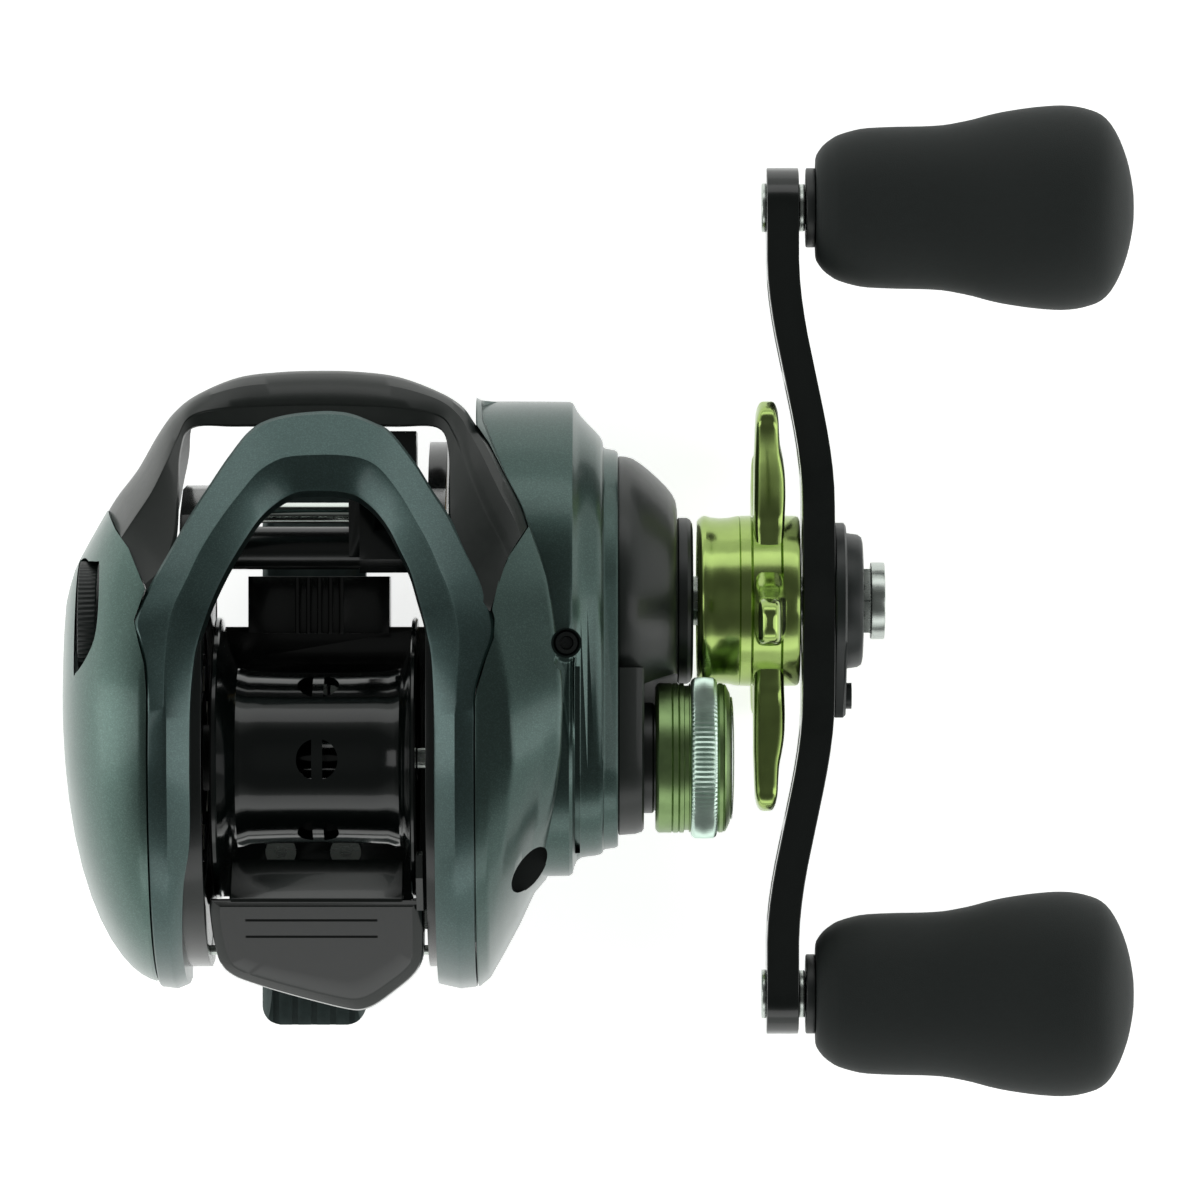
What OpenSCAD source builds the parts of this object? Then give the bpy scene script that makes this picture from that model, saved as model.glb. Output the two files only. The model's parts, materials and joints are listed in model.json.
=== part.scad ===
// Low-profile baitcasting fishing reel, right-hand retrieve, in millimetres.
// The origin is on the rod's centre line under the middle of the reel foot.
// +Y points forward, the way the line leaves; +X points to the handle; +Z is up.
// Inside on_spool() and reel(), X is counted from the middle of the spool.

/* [Reel foot] */
// Radius of the rod's seat under the foot
seat_r = 7.5; // [7.4:0.1:7.8]
// Length of the foot along the rod
foot_l = 67; // [60:1:70]
// Width of the foot
foot_w = 12.8; // [12.6:0.1:13]

/* [Spool] */
// Radius of the spool's flanges
spool_r = 17; // [16.5:0.1:17]
// Radius of the bare drum
drum_r = 10.3; // [9.8:0.1:10.8]
// Number of holes round the drum
drum_holes = 6; // [5:1:8]
// Radius of each hole in the drum
drum_hole_r = 2.5; // [1.5:0.1:2.6]

/* [Gears] */
// Module of every gear
gear_m = 0.5; // [0.5]
// Teeth on the drive gear
drive_teeth = 72; // [72]
// Teeth on the pinion
pinion_teeth = 11; // [11]
// Teeth on the level-wind drive gear
wind_drive_teeth = 24; // [24]
// Teeth on the worm gear
worm_teeth = 16; // [16]

/* [Handle] */
// Distance from the handle's axis to each knob's axis
reach = 48; // [44:1:50]
// Thickness of the handle arm along the handle's axis
arm_t = 3.9; // [3:0.1:3.9]
// Radius of the knob shafts
knob_shaft_r = 2; // [1.8:0.1:2.2]

/* [Star drag] */
// Distance from the handle's axis to the tips of the star
star_r = 26; // [23:0.5:26]
// Number of arms on the star
star_arms = 5; // [5]

/* [Covers] */
// Height of the top cover above the rod's centre line
cover_top = 51.5; // [51.5:0.1:52]
// Thickness of the top cover's arch
arch_t = 2.6; // [2.4:0.1:2.6]
// Outer radius of the cast-control ring
cast_r = 9.8; // [9:0.1:9.8]

/* [Hidden] */

// Axes, all parallel to X. The spool's middle lies beside the foot's centre line.
spool_x = 1.5;
spool_z = 29.5;
drive_y = 19;
drive_c = gear_m * (drive_teeth + pinion_teeth) / 2;
drive_z = spool_z - sqrt(drive_c * drive_c - drive_y * drive_y);
worm_y = 25.4;
wind_c = gear_m * (wind_drive_teeth + worm_teeth) / 2;
worm_z = drive_z + sqrt(wind_c * wind_c - (worm_y - drive_y) * (worm_y - drive_y));
rod_y = 29.7;
rod_z = 23;
palm_screw = [17.5, 12.5];
dial_y = 16.4;
dial_z = 36;
dial_r = 7.4;

// Radii and running gaps
shaft_r = 1.25;
drive_shaft_r = 3;
tube_r = 2.6;
worm_r = 2;
rod_r = 1.25;
run = 0.06;
stem_r = 6.4;
pinion_journal_r = 3;
pinion_tail_r = 2;

// Planes across X, from the middle of the spool
left_wall = [-19.4, -13.4];
right_wall = [13.2, 15.4];
palm_x = -19.5;
palm_end = -30.9;
gear_mesh = [21, 26.5];
wind_mesh = [18.6, 20.4];
arm_x = 58.5;
knob_x = 60.2;

// Springs of the clutch
post_y = -5;
post_dz = 9;
spring_x = [17.3, 23.6];
spring_turns = 3.5;

// Smooth open curve through hand-set points, n steps between neighbours
function cr(a, b, c, d, t) = ((2 * b) + (c - a) * t + (2 * a - 5 * b + 4 * c - d) * t * t
  + (3 * b - a - 3 * c + d) * t * t * t) / 2;
function curve(p, n = 4) = [
  for (i = [0:len(p) - 2]) for (k = [0:n - 1])
    cr(p[max(i - 1, 0)], p[i], p[i + 1], p[min(i + 2, len(p) - 1)], k / n),
  p[len(p) - 1]];
// The same curve moved sideways by t, to the right of its direction
function beside(p, t) = [for (i = [0:len(p) - 1]) let (d = p[min(i + 1, len(p) - 1)] - p[max(i - 1, 0)])
  p[i] + t * [d[1], -d[0]] / norm(d)];
function backward(p) = [for (i = [len(p) - 1:-1:0]) p[i]];

// Side view of the covers' top, from the rear up and over to the front
top_curve = curve([[-27.8, 14], [-28.3, 22], [-26.6, 31.5], [-21.8, 40.5], [-14, cover_top - 4.3],
  [-4, cover_top - 0.6], [6, cover_top], [17, 49.6], [28, 46], [36, 42.6], [42.6, 39]]);
inner_curve = beside(top_curve, arch_t);
wall_curve = [for (p = beside(top_curve, arch_t + 0.1)) if (p[0] < 31) p];

// Basic solids along X
module xcyl(r, x0, x1, n = 64) translate([x0, 0, 0]) rotate([0, 90, 0]) cylinder(r = r, h = x1 - x0, $fn = n);
module xring(r_out, r_in, x0, x1) difference() {
  xcyl(r_out, x0, x1);
  xcyl(r_in, x0 - 1, x1 + 1);
}
module revolve() rotate([0, 90, 0]) rotate_extrude($fn = 96) children();
module from_side(x0, x1) translate([x0, 0, 0]) rotate([90, 0, 90]) linear_extrude(height = x1 - x0) children();
module from_above(z0, z1) translate([0, 0, z0]) linear_extrude(height = z1 - z0) children();
module from_front(y0, y1) translate([0, y1, 0]) rotate([90, 0, 0]) linear_extrude(height = y1 - y0) children();
module block(lo, hi) translate(lo) cube(hi - lo);

// Places
module reel() translate([spool_x, 0, 0]) children();
module on_spool() translate([spool_x, 0, spool_z]) children();
module on_drive() translate([spool_x, drive_y, drive_z]) children();
module on_worm() translate([spool_x, worm_y, worm_z]) children();
module at_palm_screw() translate([0, palm_screw[0], palm_screw[1]]) children();
module on_rod() translate([spool_x, rod_y, rod_z]) children();

// Spur gear outline with stubbed involute teeth, a tooth pointing along +X
play = 0.05;
function involute(a) = tan(a) * 180 / PI - a;
function half_tooth(z, r) = let (rp = gear_m * z / 2, rb = rp * cos(20))
  90 / z - play / rp * 180 / PI + involute(20) - involute(acos(min(1, rb / max(r, rb))));
module gear_outline(z) {
  rp = gear_m * z / 2;
  foot = rp - gear_m;
  flank = [foot, max(foot, rp * cos(20)) + 0.05, rp, rp + 0.65 * gear_m];
  polygon([for (i = [0:z - 1]) for (s = [-1, 1]) for (k = [0:3])
    let (r = flank[s < 0 ? k : 3 - k], a = 360 * i / z + s * half_tooth(z, r)) r * [cos(a), sin(a)]]);
}
module gear(z, x0, x1, phase) rotate([phase, 0, 0]) from_side(x0, x1) gear_outline(z);
// Direction from the drive axis to the axis that each gear meshes with
to_spool = atan2(spool_z - drive_z, -drive_y);
to_worm = atan2(worm_z - drive_z, worm_y - drive_y);

// ---- Frame and what is fixed to it ----

module wall_outline() polygon(concat(wall_curve, [[32.4, 36], [33, 28], [31.5, 20], [26, 11.5], [18, 9.9],
  [-16, 9.9], [-23, 12.5]]));

module frame() color("#16201f") reel() difference() {
  union() {
    from_side(left_wall[0] + 3.2, left_wall[1]) wall_outline();
    intersection() {
      from_side(left_wall[0], left_wall[1]) wall_outline();
      block([-20, -40, 0], [0, 20.2, 60]);
    }
    from_side(right_wall[0], right_wall[1]) {
      wall_outline();
      translate([drive_y, drive_z]) circle(r = 19.4, $fn = 96);
    }
    block([-13.5, -17.5, 9.9], [13.3, 15.8, 11.6]);
    block([7, -21, 9.9], [13.3, -17, 11.6]);
    block([-13.5, 11.2, 11.5], [13.3, 15.8, 15]);
    block([-9.2, 15, 9.9], [8.1, 22, 18.2]);
    for (s = [-1, 1]) translate([0, post_y, spool_z + s * post_dz]) xcyl(1, right_wall[0] + 1, 25.5);
  }
  translate([0, 0, spool_z]) xcyl(spool_r + 0.7, -21, -13, 96);
  translate([0, 0, spool_z]) xcyl(5.5, 12, 16);
  translate([0, drive_y, drive_z]) xcyl(5, 12, 16);
  translate([0, worm_y, worm_z]) xcyl(3.4, -17, 16);
  translate([0, rod_y, rod_z]) xcyl(rod_r + 0.01, -17, 16);
  translate([0, -23.5, 24]) xcyl(0.61, -20, 16);
  block([12, -20.9, 26.5], [16, -17.8, 35.5]);
  at_palm_screw() xcyl(1.6, -21, -13);
  for (i = [0:4]) block([-3.4 + i * crossbar_rib_pitch, 14.5, 17.7], [-2.9 + i * crossbar_rib_pitch, 22.5, 19]);
  for (p = foot_screw_spots) translate([p[0] - spool_x, p[1], 0]) {
    translate([0, 0, 9]) cylinder(r = 1.02, h = 4, $fn = 32);
    translate([0, 0, 10.6]) cylinder(r = 1.95, h = 4, $fn = 32);
  }
}

foot_screw_spots = [[-4, -12], [4, -12], [-4, 8], [4, 8]];
crossbar_rib_pitch = 1.35;
foot_corner_r = 2.4;
foot_rib_pitch = 2.35;

// The foot: a saddle on the rod, thick under the frame and thin at both ends
module reel_foot() color("#3e4d4b") difference() {
  intersection() {
    from_side(-foot_w / 2, foot_w / 2) polygon(concat(
      [[-foot_l / 2, 0]],
      curve([[-foot_l / 2, 8.6], [-30, 9], [-20, 9.4], [-15.5, 9.89]], 3),
      curve([[21.5, 9.89], [24, 9.5], [30, 9], [foot_l / 2, 8.6]], 3),
      [[foot_l / 2, 0]]));
    translate([0, foot_l / 2, 0]) rotate([90, 0, 0]) cylinder(r = 10.4, h = foot_l, $fn = 96);
    from_above(0, 20) {
      square([foot_w, foot_l - 2 * foot_corner_r], center = true);
      square([foot_w - 2 * foot_corner_r, foot_l], center = true);
      for (sx = [-1, 1], sy = [-1, 1]) translate([sx * (foot_w / 2 - foot_corner_r), sy * (foot_l / 2 - foot_corner_r)])
        circle(r = foot_corner_r, $fn = 48);
    }
  }
  translate([0, foot_l, 0]) rotate([90, 0, 0]) cylinder(r = seat_r, h = 2 * foot_l, $fn = 96);
  for (p = foot_screw_spots) translate([p[0], p[1], 0]) cylinder(r = 1.02, h = 12, $fn = 32);
  for (i = [-2:2]) block([i * foot_rib_pitch - 0.4, -foot_l, 8.3], [i * foot_rib_pitch + 0.4, -24, 11]);
}

module foot_screws() color("#adbab1") for (p = foot_screw_spots) translate([p[0], p[1], 0]) difference() {
  union() {
    translate([0, 0, 8]) cylinder(r = 1, h = 3, $fn = 32);
    translate([0, 0, 10.6]) cylinder(r = 1.9, h = 0.95, $fn = 32);
  }
  translate([0, 0, 11.1]) cylinder(r = 0.8, h = 2, $fn = 6);
}

// Plan of the A-shaped top cover
arch_out_left = [[-19.5, -26.3], [-19.5, 7], [-19.8, 11.5], [-20.7, 14.5], [-21.2, 16.7], [-19.9, 20.3],
  [-15, 29.4], [-10.4, 36.8], [-8.1, 39.8], [-5.6, 41.3], [-1.5, 42.1]];
arch_out_right = [[3.3, 42.1], [7, 40.8], [9, 39.6], [11.9, 35.9], [15.9, 29.6], [20.1, 21], [21.5, 15.3],
  [20.5, 12.5], [19.2, 8.5], [19, 6.7], [19, -28.5]];
arch_in = [[14.2, -28.5], [14.2, 4.5], [13.9, 13.6], [12.7, 17.9], [11.3, 22.8], [8.7, 28.2], [7, 30.8],
  [4.5, 32.5], [-1.7, 32.8], [-6.3, 29.9], [-10.4, 22.9], [-12.8, 16.9], [-13.8, 13.7], [-14.5, 7],
  [-14.7, -12], [-16.1, -18.9], [-16.1, -26.3]];
module top_cover() color("#4d6260") reel() intersection() {
  from_above(0, 70) polygon(concat(arch_out_left, arch_out_right, arch_in));
  from_side(-22, 22) polygon(concat(top_curve, backward(inner_curve)));
}

// The front hood: a bar across the front and a pointed wing down each side
hood_front = [[-25.5, 30], [-24.2, 31.8], [-21.8, 34.6], [-19.4, 39], [-17, 42], [-14.5, 43.9], [-9.7, 45.9],
  [-4.8, 46.5], [0, 46.7], [4.8, 46.6], [9.7, 45.9], [14.5, 44.1], [17, 43], [18.8, 40.5], [20.5, 38],
  [22.4, 34.2], [24.5, 30.5], [25.3, 27.9]];
hood_right_wing = [[22.8, 24.2], [21.6, 21.4], [20.2, 20.9], [15.9, 29.6]];
hood_window = [[15.9, 37.9], [15.3, 39.3], [13.9, 39.9], [-14.4, 39.9], [-15.8, 39.3], [-16.4, 37.9]];
hood_left_wing = [[-16.4, 20.4], [-19.9, 20.4], [-22.1, 25.3], [-23.9, 27.6]];
hood_top = [for (p = beside(top_curve, arch_t + 0.1)) if (p[0] > 17) p];
module hood_side() polygon(concat(hood_top, [[44, 34.6], [46, 33], [46.8, 31], [46.8, 29], [44.5, 22],
  [39, 13], [31, 8], [17, 8]]));
module front_hood() color("#29322d") reel() difference() {
  intersection() {
    from_above(0, 60) polygon(concat(hood_front, hood_right_wing, hood_window, hood_left_wing));
    from_side(-26, 26) hood_side();
  }
  block([-16.5, 30, 0], [60, 60, 28.9]);
  gear_plate_nose();
  // the right wing is a skin over the gear side plate
  block([15.5, 10, 0], [60, 60, 30]);
  from_side(15.5, 60) polygon(concat([for (p = beside(top_curve, arch_t + 2.6)) if (p[0] > 14) p],
    [[41.5, 33], [43.6, 30], [43.6, 0], [14, 0]]));
}

// ---- Gear side ----

gear_plan = [[19.05, -28.2], [20.6, -26.8], [22.4, -23.7], [24.2, -20.3], [26.1, -16.8], [28.5, -14.8],
  [31.6, -13.2], [31.6, 43], [30.6, 43.4], [19.05, 43.4]];
gear_front = [[15, cover_top + 1], [19, cover_top], [22, cover_top - 1.6], [26, cover_top - 4.4],
  [28.8, cover_top - 7.6], [31.7, cover_top - 9], [31.7, 2.6], [28, 1.4], [22, 1], [15, 1]];
gear_side = [[43.4, 37.5], [43.4, 24], [40.5, 14], [34, 6], [26, 1.8], [18, 1], [8, 2.6], [-6, 7], [-18, 10.5],
  [-25, 13]];
module nose_outline(r_drive, r_spool) {
  translate([drive_y, drive_z]) circle(r = r_drive, $fn = 96);
  translate([0, spool_z]) circle(r = r_spool, $fn = 96);
  polygon([[-1, spool_z + r_spool - 0.1], [drive_y + 2, drive_z + r_drive - 0.4],
    [drive_y - 4, drive_z - r_drive + 1], [-4, spool_z - r_spool + 1]]);
}
module gear_plate_nose() {
  from_side(31.5, 34.2) nose_outline(20.4, 12.4);
  from_side(34.2, 36.1) nose_outline(18.3, 10.9);
}
module gear_plate_body() {
  intersection() {
    from_above(-5, 60) polygon(gear_plan);
    from_side(19.05, 32) polygon(concat([for (p = top_curve) if (p[0] < 42) p], gear_side));
    from_front(-40, 50) polygon(gear_front);
  }
  from_side(right_wall[1] + 0.1, 19.1) polygon(concat(wall_curve, [[33, 36.4], [38.4, 31], [39.7, 22],
    [37.6, 12], [31, 4.2], [21, 1.1], [10, 2.6], [-16, 9.9], [-24, 13]]));
}
module gear_side_plate() color("#505f5a") reel() difference() {
  union() {
    gear_plate_body();
    gear_plate_nose();
  }
  // the skin that the hood's right wing takes
  intersection() {
    from_above(0, 60) polygon(concat([[14, 45], [28, 45], [25.5, 28]], [[23, 24.1], [21.8, 21.2], [14, 20.6]]));
    from_side(14, 40) polygon(concat([for (p = beside(top_curve, arch_t + 2.8)) if (p[0] > 14) p],
      [[43.3, 33], [44, 29], [44, 60], [14, 60]]));
  }
  // the place of the top cover's right shoulder
  intersection() {
    from_above(0, 70) polygon([[18, 6.6], [19.1, 6.6], [19.3, 8.4], [20.6, 12.4], [21.6, 15.3], [20.2, 21.1],
      [18, 25.3]]);
    from_side(18, 22) polygon(concat(beside(top_curve, arch_t + 0.1), [[43, 60], [-28, 60]]));
  }
  // hollow for the gear train, the clutch and the pinion
  translate([0, drive_y, drive_z]) xcyl(18.9, 15, 29.2, 96);
  translate([0, 0, spool_z]) xcyl(13.2, 15, 29.2, 96);
  translate([0, -9, spool_z - 3]) xcyl(14.5, 15, 20, 96);
  translate([0, drive_y, drive_z]) xcyl(7.5, 29, 40, 96);
  translate([0, 0, spool_z]) xcyl(5, 29, 31.51);
  translate([0, 0, spool_z]) xcyl(3.2, 31, 40);
  // recesses beside the screws on the outer face
  translate([0, 14, 45.5]) xcyl(1.75, 28.4, 40);
  translate([0, -13.2, 31]) xcyl(2.8, 23.5, 27.5);
  for (p = gear_screw_spots) translate([0, p[0], p[1]]) xcyl(1.02, 15, 33);
  for (p = gear_screw_spots) translate([0, p[0], p[1]]) xcyl(1.9, 30.6, 38);
}

gear_screw_spots = [[-8.6, 25], [38.6, 16.5], [37, 29]];
module gear_side_screws() color("#adbab1") reel() for (p = gear_screw_spots) translate([0, p[0], p[1]])
  difference() {
    union() {
      xcyl(1, 20, 31);
      xcyl(1.85, 30.6, 31.6);
    }
    xcyl(0.8, 31.1, 33, 6);
  }

// Black cover over the roller clutch, with the threaded stem of the cast control
module gear_cover() color("#2f3933") reel() difference() {
  union() {
    difference() {
      translate([0, drive_y, drive_z]) revolve() polygon([[7, 36.15], [17.6, 36.15], [17.4, 37.5], [16.1, 39.3],
        [14.2, 41.8], [12.5, 43.1], [10, 43.3], [7, 43.3]]);
      translate([0, 0, spool_z]) xcyl(cast_r + 0.4, 39.2, 50);
    }
    from_side(36.15, 39.2) intersection() {
      nose_outline(17.3, 9.2);
      translate([-20, 0]) square([30, 60]);
    }
    translate([0, 0, spool_z]) xcyl(6.7, 39, 40.4);
    translate([0, 0, spool_z]) xcyl(stem_r, 39, 44.9);
  }
  translate([0, drive_y, drive_z]) xcyl(7.5, 36, 40.02, 96);
  translate([0, drive_y, drive_z]) xcyl(5.2, 36, 50, 96);
  translate([0, 0, spool_z]) xcyl(4, 39.5, 46);
  translate([0, 0, spool_z]) xcyl(3.2, 36, 46);
}

module rear_pillar() color("#adbab1") reel() translate([0, -23.5, 24]) xcyl(0.6, -16.2, right_wall[1]);
module guide_rod() color("#c3cbc4") on_rod() xcyl(rod_r, -16.1, right_wall[1]);
module worm_guard_tube() color("#121a17") on_worm() difference() {
  xcyl(tube_r, left_wall[1] + 0.05, right_wall[0] - 0.05);
  xcyl(worm_r + 0.25, -15, 15);
  block([-11.8, -1.6, -4], [11.8, 1.6, -1]);
}
module worm_bushes() color("#9a8f6a") on_worm() {
  xring(3.4, 1.5 + run, -16.1, left_wall[1]);
  xring(3.4, 1.5 + run, right_wall[0], right_wall[1]);
}
module drive_shaft_bush() color("#9a8f6a") on_drive() xring(5, drive_shaft_r + run, right_wall[0], right_wall[1]);
module roller_clutch_bearing() color("#adbab1") on_drive() xring(7.45, 4.6 + run, 31, 40);
module roller_clutch_seal() color("#1c2320") on_drive() revolve()
  polygon([[5.2, 43.35], [10.1, 43.35], [10.1, 44.6], [9.6, 45.2], [5.2, 45.2]]);
module pinion_bearings() color("#adbab1") on_spool() {
  xring(5.5, pinion_journal_r + run, right_wall[0], right_wall[1] - 0.1);
  xring(5, pinion_tail_r + run, 29.6, 31.5);
}
module spool_bearing_right() color("#adbab1") on_spool() xring(4, shaft_r + run, 39.5, 42);

// ---- Crank ----

module drive_shaft() color("#adbab1") on_drive() xcyl(drive_shaft_r, 12.9, 66.9);
// Width of the arm across Z at distance r from its middle, rounded at the tips
arm_end = reach + 4.9;
function arm_half(r) = let (w = 5 + 4.2 * exp(-pow(r / 11, 2)), tip = arm_end - 5)
  r < tip ? w : sqrt(max(0, 25 - pow(r - tip, 2)));
function ease(t) = t <= 0 ? 0 : t >= 1 ? 1 : t * t * (3 - 2 * t);
// Offset of the arm's left face at distance r: the ends lie closer to the reel
function arm_face(r) = arm_x - 4.3 * ease((abs(r) - 12) / 30);
module handle_arm() color("#0e1513") on_drive() difference() {
  intersection() {
    from_above(-12, 12) polygon(concat(
      [for (r = [-arm_end:2.3:arm_end + 0.1]) [arm_face(r), r]],
      [for (r = [arm_end:-2.3:-arm_end - 0.1]) [arm_face(r) + arm_t, r]]));
    from_side(50, 65) polygon(concat(
      [for (k = [0:40]) let (r = -arm_end * cos(k * 4.5)) [r, arm_half(abs(r))]],
      [for (k = [1:39]) let (r = arm_end * cos(k * 4.5)) [r, -arm_half(abs(r))]]));
  }
  xcyl(drive_shaft_r + 0.02, 50, 70);
  for (s = [-1, 1]) translate([0, s * reach, 0]) xcyl(knob_shaft_r + 0.02, 50, 70);
  for (s = [-1, 1]) for (r = [17, 29.5]) translate([0, s * r, 0]) {
    xcyl(1.8, 50, 70);
    translate([0, s * 8, 0]) xcyl(1.8, 50, 70);
    block([50, min(0, s * 8), -1.8], [70, max(0, s * 8), 1.8]);
  }
}
module handle_nut() color("#adbab1") on_drive() difference() {
  union() {
    xcyl(4.5, 62.45, 66.9, 6);
    xcyl(4.7, 66.9, 68.6);
  }
  xcyl(drive_shaft_r + 0.02, 60, 67);
  xcyl(2, 66, 70);
}
module nut_retainer() color("#212a28") on_drive() difference() {
  union() {
    from_side(62.42, 63.9) {
      circle(r = 9.4, $fn = 96);
      polygon([[-14.2, -1.6], [-13, -3], [-5, -8], [-5, 8], [-13, 3], [-14.2, 1.6]]);
    }
    xcyl(8, 63.8, 65.9, 96);
  }
  xcyl(4.6, 60, 70, 6);
  translate([0, -11.6, 0]) xcyl(0.92, 60, 70);
}
module retainer_screw() color("#2f3836") on_drive() translate([0, -11.6, 0]) difference() {
  union() {
    xcyl(0.9, 62.42, 64.2);
    xcyl(1.6, 63.91, 64.6);
  }
  xcyl(0.6, 64.3, 65, 6);
}
module knob_shafts() color("#adbab1") on_drive() for (s = [-1, 1]) translate([0, s * reach, 0]) {
  xcyl(3, 53.6, 54.19);
  xcyl(knob_shaft_r, 54.1, 92);
  xcyl(2.9, 58.12, 58.9);
}
module ratchet() color("#8d9790") on_drive() difference() {
  from_side(15.9, 17.1) polygon([for (i = [0:17]) for (k = [0:1]) let (a = 20 * i + 14 * k, r = 7.6 - 1.1 * k)
    r * [cos(a), sin(a)]]);
  xcyl(drive_shaft_r + 0.01, 15, 18);
}
module wind_drive_gear() color("#d8d8cc") on_drive() difference() {
  gear(wind_drive_teeth, wind_mesh[0], wind_mesh[1], to_worm);
  xcyl(drive_shaft_r + 0.01, 15, 22);
}
module drive_gear() color("#b59a57") on_drive() difference() {
  gear(drive_teeth, gear_mesh[0], gear_mesh[1], to_spool);
  xcyl(drive_shaft_r + 0.01, 20, 30);
  xcyl(13.6, 23.5, 30, 96);
}
module drag_washers() color("#3c3c3c") on_drive() {
  xring(13.4, drive_shaft_r + 0.01, 23.5, 24.4);
  xring(13.2, drive_shaft_r + 0.01, 24.42, 25.3);
  xring(13.4, drive_shaft_r + 0.01, 25.32, 26.2);
  xring(13.2, drive_shaft_r + 0.01, 26.22, 27);
  xring(4.9, drive_shaft_r + 0.01, 44.1, 44.6);
  xring(4.9, drive_shaft_r + 0.01, 44.7, 45.2);
}
module roller_clutch_tube() color("#adbab1") on_drive() xring(4.6, drive_shaft_r + 0.01, 27.05, 44);

// ---- Star drag ----

star_phase = 24;
module star_drag() color("#79985f") on_drive() {
  revolve() polygon([[drive_shaft_r + run, 56.6], [9, 56.6], [9.2, 58.2], [10.2, 58.2], [10.4, 57.4], [10.4, 50.5],
    [10.1, 48.5], [10.4, 46.4], [10, 45.7], [8.8, 45.7], [8.8, 54], [drive_shaft_r + run, 54]]);
  for (i = [0:star_arms - 1]) rotate([star_phase + 360 / star_arms * i, 0, 0]) from_side(52.4, 56.4) {
    polygon([[9, -4.2], [14, -2.6], [star_r - 2.6, -2.6], [star_r - 2.6, 2.6], [14, 2.6], [9, 4.2]]);
    translate([star_r - 2.6, 0]) circle(r = 2.6, $fn = 32);
  }
}
module star_nut() color("#adbab1") on_drive() difference() {
  xcyl(8.7, 50.2, 53.95);
  xcyl(drive_shaft_r + run, 45, 60);
}

// ---- Knobs ----

// Half-widths across Y and Z along the knob, from the collar outwards
knob_waist = [[0, 6.5, 5.6], [2.8, 8.9, 6.9], [6.4, 9.8, 7.2], [15.5, 10.1, 7]];
knob_bulb = [[15.5, 10.1, 7], [21, 11.3, 7.8], [26.4, 12.2, 8.8], [30, 12.5, 9.2], [33.7, 11.9, 8.8],
  [37.3, 7.6, 5.6], [38.8, 2.5, 2]];
module knob_slab(p) translate([knob_x + p[0], 0, 0]) rotate([90, 0, 90]) linear_extrude(height = 0.1)
  scale([p[1], p[2]]) circle(r = 1, $fn = 32);
module knob() difference() {
  union() {
    hull() for (p = knob_waist) knob_slab(p);
    hull() for (p = knob_bulb) knob_slab(p);
  }
  xcyl(3.5, 58, 92.6);
}
module knob_collar() difference() {
  xcyl(4.85, 59, 60.15);
  xcyl(knob_shaft_r + run, 58, 61);
}
module knob_bearings() for (x = [60.3, 89]) xring(3.5, knob_shaft_r + run, x, x + 2.5);
module at_knob(s) on_drive() translate([0, s * reach, 0]) children();
module front_knob() color("#27302f") at_knob(1) knob();
module front_knob_collar() color("#121716") at_knob(1) knob_collar();
module front_knob_bearings() color("#adbab1") at_knob(1) knob_bearings();
module rear_knob() color("#27302f") at_knob(-1) knob();
module rear_knob_collar() color("#121716") at_knob(-1) knob_collar();
module rear_knob_bearings() color("#adbab1") at_knob(-1) knob_bearings();

// ---- Cast control ----

module cast_control_cap() color("#475940") on_spool() difference() {
  union() {
    xcyl(9.05, 40.6, 44.8);
    xcyl(8.4, 44.7, 48.2);
    xcyl(9, 48.1, 49.2);
    xcyl(7.8, 49, 49.6);
  }
  xcyl(stem_r + run, 40, 46.2);
}
module cast_control_ring() color("#83a08f") on_spool() difference() {
  from_side(44.85, 48.05) polygon([for (i = [0:95]) (cast_r - 0.35 * (i % 2)) * [cos(i * 3.75), sin(i * 3.75)]]);
  xcyl(8.42, 44, 50);
}
module cast_control_disc() color("#adb1a6") on_spool() revolve()
  polygon([[0, 49.62], [7.4, 49.62], [7, 49.95], [4, 50.1], [0, 50.15]]);
module cast_friction_disc() color("#d8d8cc") on_spool() xcyl(3.6, 45.2, 46.18);

// ---- Spool ----

module spool() color("#1b2321") on_spool() difference() {
  revolve() polygon([[shaft_r + 0.01, -12], [2.8, -12], [2.8, -0.65], [9.3, -0.65], [9.3, -11.2], [12.5, -12.5],
    [spool_r, -12.5], [spool_r, -11.8], [12, -10.1], [10.9, -9.6], [drum_r + 0.2, -8.2], [drum_r, -3.6],
    [drum_r, 3.6], [drum_r + 0.2, 8.2], [10.9, 9.6], [12, 10.1], [spool_r, 11.2], [spool_r, 11.9], [12.5, 11.9],
    [9.3, 10.9], [9.3, 0.65], [2.8, 0.65], [2.8, 11.9], [shaft_r + 0.01, 11.9]]);
  for (i = [0:drum_holes - 1]) rotate([90 + 360 / drum_holes * i, 0, 0]) for (s = [-1, 1])
    intersection() {
      translate([0, 8.5, 0]) rotate([-90, 0, 0]) cylinder(r = drum_hole_r, h = 4, $fn = 48);
      block([min(0.65 * s, 9 * s), 0, -9], [max(0.65 * s, 9 * s), 30, 9]);
    }
}
pin_x = 12.6;
pin_r = 0.5;
module spool_shaft() color("#adbab1") on_spool() difference() {
  xcyl(shaft_r, -20.3, 45.1);
  translate([pin_x, 0, -2]) cylinder(r = pin_r, h = 4, $fn = 32);
}
module spool_pin() color("#adbab1") on_spool() translate([pin_x, 0, -2.7]) cylinder(r = pin_r, h = 5.4, $fn = 32);
module brake_hub() color("#2c3440") on_spool() difference() {
  union() {
    xcyl(4, -17.1, -12.6);
    xcyl(8, -15.6, -14);
  }
  xcyl(shaft_r, -20, -10);
}
module brake_blocks() color("#c9ccc4") on_spool() for (i = [0:5]) rotate([60 * i, 0, 0])
  block([-15.6, 8.05, -1.4], [-14, 11.1, 1.4]);

// ---- Palm side ----

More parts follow.
